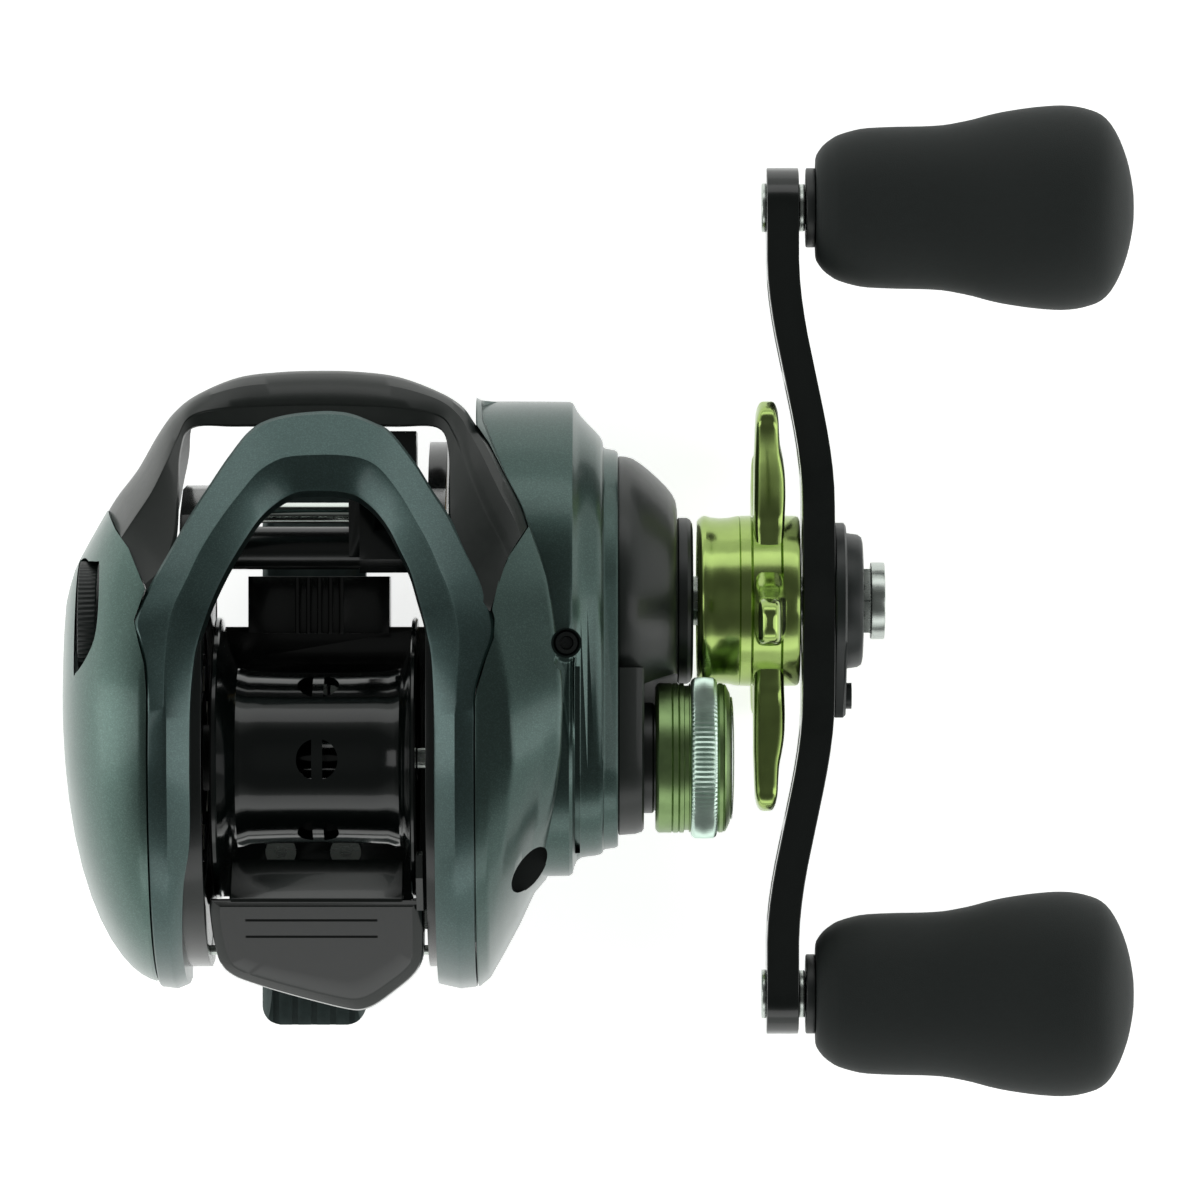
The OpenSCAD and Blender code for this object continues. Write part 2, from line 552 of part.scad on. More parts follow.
palm_plan = [[palm_x, -26.5], [-21.8, -25], [-24.7, -22], [-26.7, -19], [-27.9, -16], [-28.8, -13], [-30.1, -7],
  [-30.8, 0], [palm_end, 10], [-30.8, 17], [-30.3, 20.3], [-29.3, 23.3], [-27.6, 26.4], [-25.7, 29.4], [-25.3, 29.7],
  [-24, 27.5], [-22.2, 25.2], [-20, 20.4], [-21.3, 16.7], [-20.8, 14.5], [-19.9, 11.5], [-19.6, 7], [palm_x, 6]];
palm_front = [[-19, cover_top], [-20.5, cover_top - 0.5], [-24, 48], [-27, 43.5], [-29.2, 38], [-30.5, 32],
  [palm_end, 26], [palm_end, 20], [-30.2, 14], [-28, 8.5], [-24.5, 5.5], [-19, 4]];
palm_side = [[30, 38], [30.4, 26], [28, 13], [22, 7], [12, 4.4], [0, 4], [-12, 5.6], [-22, 9], [-26.5, 12]];
module palm_solid() intersection() {
  from_above(0, 60) polygon(palm_plan);
  from_side(-32, -19) polygon(concat([for (p = top_curve) if (p[0] < 30) p], palm_side));
  from_front(-40, 50) polygon(palm_front);
}
module palm_side_plate() color("#61806f") reel() difference() {
  union() {
    difference() {
      palm_solid();
      translate([palm_x, 1, 27]) scale(0.9) translate([-palm_x, -1, -27]) palm_solid();
    }
    intersection() {
      palm_solid();
      at_palm_screw() xcyl(3.6, -32, palm_x);
    }
  }
  translate([0, 0, spool_z]) xcyl(17.25, -21.5, -19, 96);
  block([-28.8, 10.5, 38], [-25.9, 22, 60]);
  translate([0, dial_y, dial_z]) xcyl(dial_r + 0.35, -28.8, -25.9);
  at_palm_screw() xcyl(1.55, -40, -10);
  at_palm_screw() xcyl(2.5, -40, -26.55);
}
module brake_case() color("#232a29") on_spool() difference() {
  union() {
    xring(17.2, 16.2, -19.5, -14.2);
    xring(12.6, 11.5, -19.5, -13.9);
    xcyl(17.2, -20.9, -19.5, 96);
    xcyl(5.2, -20.9, -17.3);
  }
  xcyl(4, -20.5, -10);
}
module spool_bearing_left() color("#adbab1") on_spool() xring(4, shaft_r + run, -20.45, -18.2);
module side_plate_screw() color("#adbab1") reel() at_palm_screw() difference() {
  union() {
    xcyl(1.5, -26.6, -14.5);
    xcyl(2.4, -28.6, -26.57);
  }
  block([-28.8, -3, -0.35], [-28.1, 3, 0.35]);
}
module brake_dial() color("#1c2320") reel() translate([0, dial_y, dial_z]) difference() {
  from_side(-28.45, -26.25) polygon([for (i = [0:143]) (dial_r - 0.25 * (i % 2)) * [cos(i * 2.5), sin(i * 2.5)]]);
  xcyl(2, -30, -20);
}

// ---- Thumb bar and clutch ----

thumb_plan = [[-12.8, -16.7], [-12.4, -23], [-11.5, -24.8], [-10, -25.8], [-5.8, -27.8], [1.6, -30.1], [5, -30.5],
  [7.6, -29.6], [10.4, -26.9], [12.1, -26], [12.8, -25], [12.8, -16.7]];
module thumb_bar() color("#212c28") reel() {
  intersection() {
    from_above(20, 50) polygon(thumb_plan);
    from_side(-13, 13) polygon([[-16.7, 41.6], [-16.7, 38.8], [-17.7, 34.5], [-17.9, 31], [-24, 29.5], [-30, 30.5],
      [-30.5, 32.5], [-27, 37], [-22, 40.3]]);
  }
  from_side(12.2, 12.8) polygon([[-18, 36], [-11.5, 43], [-10.8, 44.5], [-11.2, 46], [-14, 45], [-18, 41]]);
}
module clutch_plate() color("#8d9790") reel() {
  block([12.82, -20.5, 31.4], [16.1, -18.2, 34.6]);
  from_side(15.7, 16.2) polygon([[-20.5, 34.6], [-20.5, 27], [-16, 24], [-9.4, 24], [-9.4, 30], [-14, 33], [-18, 34.6]]);
}
module clutch_yoke() color("#8d9790") on_spool() difference() {
  from_side(16.4, 17.2) polygon([[-8.2, -6], [-7, -11], [-3, -11], [-1, -6], [3, -4.6], [3, 4.6], [-1, 6], [-3, 11],
    [-7, 11], [-8.2, 6]]);
  xcyl(2.5, 15, 19);
  block([15, 0, -2.5], [19, 8, 2.5]);
  for (s = [-1, 1]) translate([0, post_y, s * post_dz]) xcyl(1.3, 15, 19);
}
// Wound spring of flat coils, an end on the yoke and an end on the gear side plate's boss
module clutch_springs() color("#adbab1") on_spool() for (s = [-1, 1]) translate([spring_x[0], post_y, s * post_dz])
  rotate([0, 90, 0]) linear_extrude(height = spring_x[1] - spring_x[0], twist = -360 * spring_turns, slices = 56)
    translate([1.75, 0]) circle(r = 0.3, $fn = 8);
module pinion_gear() color("#b59a57") on_spool() difference() {
  union() {
    xcyl(pinion_journal_r, 13.3, 15.65);
    xcyl(4, 15.6, 16.2);
    xcyl(2.2, 16.1, 17.5);
    xcyl(4, 17.4, 18);
    gear(pinion_teeth, 17.9, 27.4, to_spool + 180 + 180 / pinion_teeth);
    xcyl(pinion_tail_r, 27.3, 33);
  }
  xcyl(shaft_r + run, 10, 40);
}

// ---- Level wind ----

module worm_shaft() color("#adbab1") on_worm() difference() {
  union() {
    xcyl(worm_r, left_wall[1] + 0.1, right_wall[0] - 0.1);
    xcyl(1.5, -15.9, 20.5);
  }
  // crossed tilted grooves that carry the pawl to and fro
  for (i = [-5:5]) for (s = [-1, 1]) translate([2.1 * i, 0, 0]) rotate([0, s * 14, 0])
    xring(3, 1.45, -0.3, 0.3);
}
module worm_gear() color("#d8d8cc") on_worm() difference() {
  gear(worm_teeth, wind_mesh[0], wind_mesh[1], to_worm + 180 + 180 / worm_teeth);
  xcyl(1.5, 15, 22);
}
guide_x = [3.6, 11.8];
eyelet_z = 31.6;
module line_guide() color("#222b28") reel() difference() {
  union() {
    from_side(guide_x[0] + 1.3, guide_x[1]) polygon([[22.4, 26], [22.4, 31.4], [24, 32.8], [32.8, 33], [33.6, 35.8],
      [39.4, 35.8], [39.4, 27.4], [33.4, 26.6], [32.4, 21], [27, 20.2], [22.8, 20.2]]);
    from_side(guide_x[0], guide_x[0] + 1.31) polygon([[23.4, 27], [24.4, 32], [34.4, 34], [39.4, 33.4], [39.4, 29],
      [31.5, 21.6], [27.8, 21.6]]);
  }
  translate([0, worm_y, worm_z]) xcyl(tube_r + run, 0, 20);
  translate([0, rod_y, rod_z]) xcyl(rod_r + run, 0, 20);
  translate([8.3, 45, eyelet_z]) rotate([90, 0, 0]) cylinder(r = 3.2, h = 11, $fn = 64);
  translate([8.3, 45, eyelet_z]) rotate([90, 0, 0]) cylinder(r = 2, h = 14, $fn = 64);
  block([6.7, 27.5, 31.4], [9.9, 32.6, 40]);
  translate([8.3, worm_y, 10]) cylinder(r = 1.42, h = 18, $fn = 48);
  translate([8.3, worm_y, 10]) cylinder(r = 2.1, h = 11.5, $fn = 48);
}
module line_eyelet() color("#4a3f52") reel() translate([8.3, 39.35, eyelet_z]) rotate([90, 0, 0]) rotate_extrude($fn = 64)
  polygon([[2.5, 0], [3.2, 0], [3.2, 5.3], [2.6, 5.3], [2.1, 4], [2, 2.6], [2.1, 1]]);
module wind_pawl() color("#adbab1") reel() translate([8.3, worm_y, 0]) {
  translate([0, 0, 21.6]) cylinder(r = 1.4, h = worm_z - worm_r - 21.8, $fn = 48);
  translate([0, 0, 20.3]) cylinder(r = 2.05, h = 1.15, $fn = 48);
}

frame();
reel_foot();
foot_screws();
top_cover();
front_hood();
gear_side_plate();
gear_cover();
gear_side_screws();
rear_pillar();
guide_rod();
worm_guard_tube();
worm_bushes();
drive_shaft_bush();
roller_clutch_bearing();
roller_clutch_seal();
pinion_bearings();
spool_bearing_right();
drive_shaft();
handle_arm();
handle_nut();
nut_retainer();
retainer_screw();
knob_shafts();
ratchet();
wind_drive_gear();
drive_gear();
drag_washers();
roller_clutch_tube();
star_drag();
star_nut();
front_knob();
front_knob_collar();
front_knob_bearings();
rear_knob();
rear_knob_collar();
rear_knob_bearings();
cast_control_cap();
cast_control_ring();
cast_control_disc();
cast_friction_disc();
spool();
spool_shaft();
spool_pin();
brake_hub();
brake_blocks();
palm_side_plate();
brake_case();
spool_bearing_left();
side_plate_screw();
brake_dial();
thumb_bar();
clutch_plate();
clutch_yoke();
clutch_springs();
pinion_gear();
worm_shaft();
worm_gear();
line_guide();
line_eyelet();
wind_pawl();
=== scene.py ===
"""Low-profile baitcasting reel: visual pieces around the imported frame.

Lengths inside this file are millimetres from the middle of the spool in X, and from the rod's
centre line in Y and Z, as in the CAD source; MM and SPOOL_X turn them into the frame's metres.
"""

import json
import math

import bmesh
import bpy
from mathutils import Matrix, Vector


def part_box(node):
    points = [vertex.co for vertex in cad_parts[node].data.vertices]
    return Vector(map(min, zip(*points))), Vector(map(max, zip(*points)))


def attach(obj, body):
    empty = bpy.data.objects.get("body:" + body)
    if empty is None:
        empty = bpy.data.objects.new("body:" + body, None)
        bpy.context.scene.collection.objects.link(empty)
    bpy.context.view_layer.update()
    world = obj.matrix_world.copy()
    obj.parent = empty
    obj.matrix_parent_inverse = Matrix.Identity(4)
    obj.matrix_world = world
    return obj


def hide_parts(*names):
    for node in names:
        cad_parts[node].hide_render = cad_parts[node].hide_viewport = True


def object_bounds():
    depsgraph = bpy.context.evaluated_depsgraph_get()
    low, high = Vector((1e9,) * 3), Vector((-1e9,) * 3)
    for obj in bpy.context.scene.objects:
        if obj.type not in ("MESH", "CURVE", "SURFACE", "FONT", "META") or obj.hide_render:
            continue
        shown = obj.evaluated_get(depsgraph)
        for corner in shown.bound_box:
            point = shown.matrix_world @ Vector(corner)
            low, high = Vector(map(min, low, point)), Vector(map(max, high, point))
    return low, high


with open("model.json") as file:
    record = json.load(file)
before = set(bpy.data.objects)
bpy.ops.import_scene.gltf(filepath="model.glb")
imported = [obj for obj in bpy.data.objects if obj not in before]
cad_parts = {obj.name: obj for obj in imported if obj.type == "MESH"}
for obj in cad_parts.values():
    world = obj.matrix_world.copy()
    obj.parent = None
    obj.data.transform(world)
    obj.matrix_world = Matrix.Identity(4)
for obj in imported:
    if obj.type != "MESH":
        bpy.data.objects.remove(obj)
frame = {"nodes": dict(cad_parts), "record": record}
cad_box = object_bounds()

MM = 0.001
SPOOL_X = 1.5
spool_lo, spool_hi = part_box("spool")
SPOOL_Z = (spool_lo[2] + spool_hi[2]) / 2 / MM
clutch_lo, clutch_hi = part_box("roller_clutch_bearing")
DRIVE_Y = (clutch_lo[1] + clutch_hi[1]) / 2 / MM
DRIVE_Z = (clutch_lo[2] + clutch_hi[2]) / 2 / MM
SPOOL_AXIS = (0.0, SPOOL_Z)
DRIVE_AXIS = (DRIVE_Y, DRIVE_Z)
REACH = 48.0
NEAR_AXIS = 0.001


# ---------------------------------------------------------------- materials

def srgb(r, g, b):
    """An sRGB colour in 0..255 as linear RGBA."""
    return (*[(c / 255 / 12.92 if c <= 10 else ((c / 255 + 0.055) / 1.055) ** 2.4) for c in (r, g, b)], 1.0)


def new_material(name):
    """A material with its nodes, links and main shader."""
    mat = bpy.data.materials.new(name)
    mat.use_nodes = True
    nodes = mat.node_tree.nodes
    return mat, nodes, mat.node_tree.links, nodes["Principled BSDF"]


def noise(nodes, links, scale, detail=2.0, rough=0.5, stretch=None):
    """A noise texture on object coordinates, in cycles per metre, stretched along an axis if asked."""
    coords = nodes.new("ShaderNodeTexCoord")
    tex = nodes.new("ShaderNodeTexNoise")
    tex.inputs["Scale"].default_value = scale
    tex.inputs["Detail"].default_value = detail
    tex.inputs["Roughness"].default_value = rough
    if stretch:
        mapping = nodes.new("ShaderNodeMapping")
        mapping.inputs["Scale"].default_value = stretch
        links.new(coords.outputs["Object"], mapping.inputs["Vector"])
        links.new(mapping.outputs["Vector"], tex.inputs["Vector"])
    else:
        links.new(coords.outputs["Object"], tex.inputs["Vector"])
    return tex


def ramp(nodes, links, source, stops):
    """A colour ramp fed by source, with stops of (position, RGBA)."""
    node = nodes.new("ShaderNodeValToRGB")
    while len(node.color_ramp.elements) < len(stops):
        node.color_ramp.elements.new(0.5)
    for element, (at, colour) in zip(node.color_ramp.elements, stops):
        element.position = at
        element.color = colour
    links.new(source, node.inputs["Fac"])
    return node


def span(nodes, links, source, low, high):
    """Maps source from 0..1 to low..high."""
    node = nodes.new("ShaderNodeMapRange")
    node.inputs["To Min"].default_value = low
    node.inputs["To Max"].default_value = high
    links.new(source, node.inputs["Value"])
    return node


def bump(nodes, links, source, strength, depth):
    """A bump node that takes its height from source."""
    node = nodes.new("ShaderNodeBump")
    node.inputs["Strength"].default_value = strength
    node.inputs["Distance"].default_value = depth
    links.new(source, node.inputs["Height"])
    return node


def shade(colour, factor):
    """A colour made lighter or darker."""
    return tuple([min(1.0, c * factor) for c in colour[:3]] + [1.0])


def surface(name, colour, metallic=0.0, rough=(0.3, 0.4), vary=0.12, grain=900.0, coat=0.0, bump_mm=0.0,
            bump_scale=4000.0, bump_strength=0.2, stretch=None, specular=0.5, coat_rough=0.1):
    """A general finish: soft colour variation, uneven roughness and a fine grain in the normal."""
    mat, nodes, links, bsdf = new_material(name)
    tex = noise(nodes, links, grain, 4.0, 0.6, stretch)
    tone = ramp(nodes, links, tex.outputs["Fac"],
                [(0.3, shade(colour, 1 - vary)), (0.7, shade(colour, 1 + vary))])
    links.new(tone.outputs["Color"], bsdf.inputs["Base Color"])
    gloss = span(nodes, links, tex.outputs["Fac"], rough[0], rough[1])
    links.new(gloss.outputs["Result"], bsdf.inputs["Roughness"])
    bsdf.inputs["Metallic"].default_value = metallic
    bsdf.inputs["Specular IOR Level"].default_value = specular
    bsdf.inputs["Coat Weight"].default_value = coat
    bsdf.inputs["Coat Roughness"].default_value = coat_rough
    if bump_mm:
        fine = noise(nodes, links, bump_scale, 3.0, 0.6, stretch)
        relief = bump(nodes, links, fine.outputs["Fac"], bump_strength, bump_mm * MM)
        links.new(relief.outputs["Normal"], bsdf.inputs["Normal"])
    return mat


def flake_paint(name, colour, flake=0.5, metallic=0.92, rough=0.32, coat=0.4):
    """Metallic paint: small bright and dark flakes under a satin clear coat."""
    mat, nodes, links, bsdf = new_material(name)
    coords = nodes.new("ShaderNodeTexCoord")
    cells = nodes.new("ShaderNodeTexVoronoi")
    cells.inputs["Scale"].default_value = 9000.0
    links.new(coords.outputs["Object"], cells.inputs["Vector"])
    grey = nodes.new("ShaderNodeSeparateColor")
    links.new(cells.outputs["Color"], grey.inputs["Color"])
    tone = ramp(nodes, links, grey.outputs["Red"],
                [(0.0, shade(colour, 1 - 0.22 * flake)), (0.6, colour),
                 (1.0, shade(colour, 1 + 0.5 * flake))])
    tone.color_ramp.interpolation = "EASE"
    links.new(tone.outputs["Color"], bsdf.inputs["Base Color"])
    cloud = noise(nodes, links, 120.0, 2.0)
    gloss = span(nodes, links, cloud.outputs["Fac"], rough - 0.03, rough + 0.05)
    links.new(gloss.outputs["Result"], bsdf.inputs["Roughness"])
    relief = bump(nodes, links, grey.outputs["Green"], 0.05, 0.02 * MM)
    links.new(relief.outputs["Normal"], bsdf.inputs["Normal"])
    bsdf.inputs["Metallic"].default_value = metallic
    bsdf.inputs["Coat Weight"].default_value = coat
    bsdf.inputs["Coat Roughness"].default_value = 0.16
    return mat


PLATE = flake_paint("plate_paint_look", srgb(80, 101, 95), rough=0.34)
ARCH = flake_paint("arch_paint_look", srgb(64, 82, 80), rough=0.32)
GEARSIDE = flake_paint("gear_paint_look", srgb(64, 82, 78), rough=0.33)
HOOD = surface("hood_black_look", srgb(15, 21, 18), rough=(0.34, 0.44), vary=0.1, bump_mm=0.03, coat=0.1)
COVER = surface("cover_black_look", srgb(17, 23, 20), rough=(0.34, 0.44), vary=0.1, bump_mm=0.03, coat=0.1)
FRAME = surface("frame_black_look", srgb(9, 14, 13), metallic=0.2, rough=(0.2, 0.3), vary=0.1, coat=0.2)
FOOT = surface("foot_grey_look", srgb(52, 64, 63), metallic=0.5, rough=(0.3, 0.42), vary=0.12, bump_mm=0.04,
               coat=0.2)
ARM = surface("arm_black_look", srgb(7, 12, 10), metallic=0.1, rough=(0.16, 0.24), vary=0.1, coat=0.35,
              coat_rough=0.05)
RETAINER = surface("retainer_black_look", srgb(20, 26, 25), rough=(0.36, 0.46), vary=0.08, bump_mm=0.02)
RUBBER = surface("knob_rubber_look", srgb(24, 29, 28), rough=(0.62, 0.72), vary=0.07, bump_mm=0.06,
                 bump_scale=6500.0, bump_strength=0.35, specular=0.35)
STEEL = surface("steel_look", srgb(186, 192, 187), metallic=1.0, rough=(0.2, 0.34), vary=0.06, bump_mm=0.01,
                stretch=(0.05, 1.0, 1.0), bump_scale=5000.0)
CHROME = surface("chrome_look", srgb(208, 214, 209), metallic=1.0, rough=(0.06, 0.12), vary=0.03)
STAR = surface("star_green_look", srgb(150, 172, 100), metallic=1.0, rough=(0.14, 0.22), vary=0.08,
               grain=300.0,
               bump_mm=0.01, bump_scale=3000.0, bump_strength=0.1)
OLIVE = surface("cast_green_look", srgb(122, 146, 98), metallic=1.0, rough=(0.3, 0.38), vary=0.08,
                bump_mm=0.01)
KNURL = surface("knurl_silver_look", srgb(205, 226, 214), metallic=1.0, rough=(0.26, 0.36), vary=0.07,
                bump_mm=0.01)
SPOOL = surface("spool_black_look", srgb(8, 13, 12), metallic=0.2, rough=(0.1, 0.16), vary=0.06, coat=0.2,
                coat_rough=0.04)
BRASS = surface("brass_look", srgb(190, 160, 92), metallic=1.0, rough=(0.25, 0.38), vary=0.1, bump_mm=0.01)
NYLON = surface("nylon_look", srgb(215, 214, 202), rough=(0.4, 0.5), vary=0.04, bump_mm=0.02)
DARK = surface("dark_plastic_look", srgb(18, 23, 22), rough=(0.38, 0.48), vary=0.08, bump_mm=0.02)
CARBON = surface("carbon_look", srgb(48, 48, 48), rough=(0.45, 0.6), vary=0.3, grain=2500.0, bump_mm=0.03)
CERAMIC = surface("ceramic_look", srgb(58, 50, 66), rough=(0.08, 0.14), vary=0.1, coat=0.6)

LOOKS = {
    "plate_paint": PLATE, "arch_paint": ARCH, "gear_paint": GEARSIDE, "hood_black": HOOD,
    "frame_black": FRAME, "foot_grey": FOOT, "arm_black": ARM, "retainer_black": RETAINER,
    "knob_rubber": RUBBER, "steel": STEEL, "chrome": CHROME, "star_green": STAR, "cast_green": OLIVE,
    "knurl_silver": KNURL, "spool_black": SPOOL, "brass": BRASS, "nylon": NYLON, "dark_plastic": DARK,
    "carbon": CARBON, "ceramic": CERAMIC,
}
NODE_SLOT = {s["node"]: s["material_slot"] for s in frame["record"]["subparts"]}
NODE_BODY = {n: b for b, ns in frame["record"]["behaviour"]["bodies"].items() for n in ns}


# ---------------------------------------------------------------- mesh helpers

def place(p):
    """A point in millimetres from the spool's middle as metres in the frame."""
    return ((p[0] + SPOOL_X) * MM, p[1] * MM, p[2] * MM)


def make(name, verts, faces, material):
    """A mesh object from points in millimetres."""
    mesh = bpy.data.meshes.new(name)
    mesh.from_pydata([place(v) for v in verts], [], faces)
    mesh.update()
    mesh.materials.append(material)
    obj = bpy.data.objects.new(name, mesh)
    bpy.context.scene.collection.objects.link(obj)
    return obj


def apply_modifiers(obj):
    """Bakes the object's modifiers into its mesh."""
    bpy.context.view_layer.update()
    graph = bpy.context.evaluated_depsgraph_get()
    mesh = bpy.data.meshes.new_from_object(obj.evaluated_get(graph), depsgraph=graph)
    obj.modifiers.clear()
    obj.data = mesh
    return obj


def smooth(obj, angle=35):
    """Smooth shading, with edges sharper than angle kept sharp."""
    obj.data.shade_smooth()
    obj.data.set_sharp_from_angle(angle=math.radians(angle))
    return obj


def recalc(obj):
    """Joins points that coincide and turns all faces outwards."""
    bm = bmesh.new()
    bm.from_mesh(obj.data)
    bmesh.ops.remove_doubles(bm, verts=bm.verts, dist=0.002 * MM)
    bmesh.ops.recalc_face_normals(bm, faces=bm.faces)
    bm.to_mesh(obj.data)
    bm.free()
    return obj


def bevel(obj, width, segments=2, angle=28):
    """Rounds every edge sharper than angle, by width millimetres."""
    mod = obj.modifiers.new("bevel", "BEVEL")
    mod.width = width * MM
    mod.segments = segments
    mod.limit_method = "ANGLE"
    mod.angle_limit = math.radians(angle)
    mod.use_clamp_overlap = True
    apply_modifiers(obj)
    return smooth(obj)


def combine(obj, other, operation):
    """Boolean of obj with other, which is removed."""
    mod = obj.modifiers.new("cut", "BOOLEAN")
    mod.operation = operation
    mod.solver = "EXACT"
    mod.object = other
    apply_modifiers(obj)
    bpy.data.objects.remove(other)
    return obj


def cut(obj, *others):
    """Takes the others away from obj."""
    for other in others:
        combine(obj, other, "DIFFERENCE")
    return obj


def keep_inside(obj, other):
    """Keeps the part of obj that lies inside other."""
    return combine(obj, other, "INTERSECT")


def loft(name, rings, material, cap=True):
    """A surface through closed rings of equal length, with its two ends capped unless cap is False."""
    count = len(rings[0])
    verts = [p for ring in rings for p in ring]
    faces = []
    for i in range(len(rings) - 1):
        for k in range(count):
            a, b = i * count + k, i * count + (k + 1) % count
            faces.append((a, b, b + count, a + count))
    if cap:
        faces.append(tuple(range(count))[::-1])
        faces.append(tuple(range(len(verts) - count, len(verts))))
    return recalc(make(name, verts, faces, material))


def turned(name, profile, axis, material, steps=96):
    """A solid of revolution about an X-parallel axis (y, z); profile is a closed loop of (x, r)."""
    verts, faces = [], []
    count = len(profile)
    for i in range(steps):
        a = 2 * math.pi * i / steps
        verts += [(x, axis[0] + r * math.cos(a), axis[1] + r * math.sin(a)) for x, r in profile]
    for i in range(steps):
        for k in range(count):
            j, m = (i + 1) % steps, (k + 1) % count
            faces.append((i * count + k, i * count + m, j * count + m, j * count + k))
    return recalc(make(name, verts, faces, material))


def rod(name, axis, radius, low, high, material=None, steps=96):
    """A round bar from low to high along an X-parallel axis."""
    profile = [(low, NEAR_AXIS), (low, radius), (high, radius), (high, NEAR_AXIS)]
    return turned(name, profile, axis, material or DARK, steps)


def turned_up(name, profile, centre, material, steps=48):
    """A solid of revolution about an upright axis at (x, y); profile is an open line of (r, z)."""
    rings = []
    for r, z in profile:
        rings.append([(centre[0] + r * math.cos(2 * math.pi * i / steps),
                       centre[1] + r * math.sin(2 * math.pi * i / steps), z) for i in range(steps)])
    return smooth(loft(name, rings, material), 40)


def prism(name, outline, axis, low, high, material=None):
    """An outline pushed along an axis: "x" takes (y, z) pairs and "z" takes (x, y) pairs."""
    count = len(outline)
    if axis == "x":
        verts = [(h, p[0], p[1]) for h in (low, high) for p in outline]
    else:
        verts = [(p[0], p[1], h) for h in (low, high) for p in outline]
    faces = [tuple(range(count))[::-1], tuple(range(count, 2 * count))]
    faces += [(k, (k + 1) % count, count + (k + 1) % count, count + k) for k in range(count)]
    return recalc(make(name, verts, faces, material or DARK))


def circle(centre, radius, steps=64):
    """A closed loop of points round centre."""
    angles = [math.radians(360.0 * i / steps) for i in range(steps)]
    return [(centre[0] + radius * math.cos(a), centre[1] + radius * math.sin(a)) for a in angles]


def spline(points, steps=6, closed=False):
    """Catmull-Rom curve through points of any dimension."""
    count = len(points)
    out = []
    spans = count if closed else count - 1
    for i in range(spans):
        if closed:
            a, b, c, d = (points[(i + k) % count] for k in (-1, 0, 1, 2))
        else:
            a, b, c, d = (points[min(max(i + k, 0), count - 1)] for k in (-1, 0, 1, 2))
        for k in range(steps):
            t = k / steps
            out.append(tuple((2 * b[m] + (c[m] - a[m]) * t + (2 * a[m] - 5 * b[m] + 4 * c[m] - d[m]) * t * t
                              + (3 * b[m] - a[m] - 3 * c[m] + d[m]) * t ** 3) / 2 for m in range(len(b))))
    if not closed:
        out.append(tuple(points[-1]))
    return out


def mix(a, b, t):
    """The value t of the way from a to b."""
    return a + (b - a) * t


def table(x, rows):
    """Straight-line reading of (x, value) rows."""
    if x <= rows[0][0]:
        return rows[0][1]
    for (x0, v0), (x1, v1) in zip(rows, rows[1:]):
        if x <= x1:
            return mix(v0, v1, (x - x0) / (x1 - x0))
    return rows[-1][1]


def show(obj, *nodes):
    """Puts a new piece in place of CAD nodes: it joins their body and hides them."""
    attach(obj, NODE_BODY[nodes[0]])
    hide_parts(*nodes)
    return obj


def refine(node, width=0.2, segments=2, angle=28):
    """The CAD node's own shape with its flats merged and its edges rounded."""
    source = frame["nodes"][node]
    mesh = source.data.copy()
    obj = bpy.data.objects.new(node + "_fine", mesh)
    bpy.context.scene.collection.objects.link(obj)
    bm = bmesh.new()
    bm.from_mesh(mesh)
    bmesh.ops.remove_doubles(bm, verts=bm.verts, dist=0.001 * MM)
    bmesh.ops.dissolve_limit(bm, angle_limit=math.radians(1.0), verts=bm.verts, edges=bm.edges)
    bm.to_mesh(mesh)
    bm.free()
    mesh.materials.clear()
    mesh.materials.append(LOOKS[NODE_SLOT[node]])
    bevel(obj, width, segments, angle)
    return show(obj, node)


# ---------------------------------------------------------------- pieces

# (y, z) line up the back and over the top of the covers
TOP_CURVE = [(-27.8, 14), (-28.3, 22), (-26.6, 31.5), (-21.8, 40.5), (-14, 47.2), (-4, 50.9), (6, 51.5),
             (17, 49.6), (28, 46), (36, 42.6), (42.6, 39)]
TOP_LINE = spline(TOP_CURVE, 12)
BACK_Y = -21.8
BACK_Z = 40.5


def on_top(v, drop):
    """A (y, z) point drop under the top line. v is y, and behind BACK_Y it runs down the back by length."""
    back = [p for p in TOP_LINE if p[0] < 0 and p[1] < BACK_Z + 0.1][::-1]
    if v >= BACK_Y:
        front = [back[0]] + [p for p in TOP_LINE if p[0] > BACK_Y + 0.01 and (p[1] > BACK_Z or p[0] > 0)]
        z = table(v, front)
        dz = table(v + 0.4, front) - z
        normal = Vector((-dz, 0.4)).normalized()
        return v - normal[0] * drop, z - normal[1] * drop
    left = BACK_Y - v
    for a, b in zip(back, back[1:]):
        step = math.dist(a, b)
        if left <= step:
            break
        left -= step
    t = min(left / step, 1.0)
    normal = Vector((-(a[1] - b[1]), a[0] - b[0])).normalized()
    return mix(a[0], b[0], t) - normal[0] * drop, mix(a[1], b[1], t) - normal[1] * drop


# A row that drops further than this is a wall and keeps its full drop
FACET_DROP = 2.3
# (v, share of its drop that a row on the outer or the inner facet takes)
ARCH_OUTSIDE = [(-34, 0.3), (-20, 0.3), (-8, 0.15), (4, 0.15), (12, 0.7), (20, 1.0)]
ARCH_INSIDE = [(-34, 0.3), (-20, 0.4), (-8, 0.8), (4, 0.8), (12, 0.5), (18, 0.35), (24, 0.6), (30, 1.0)]


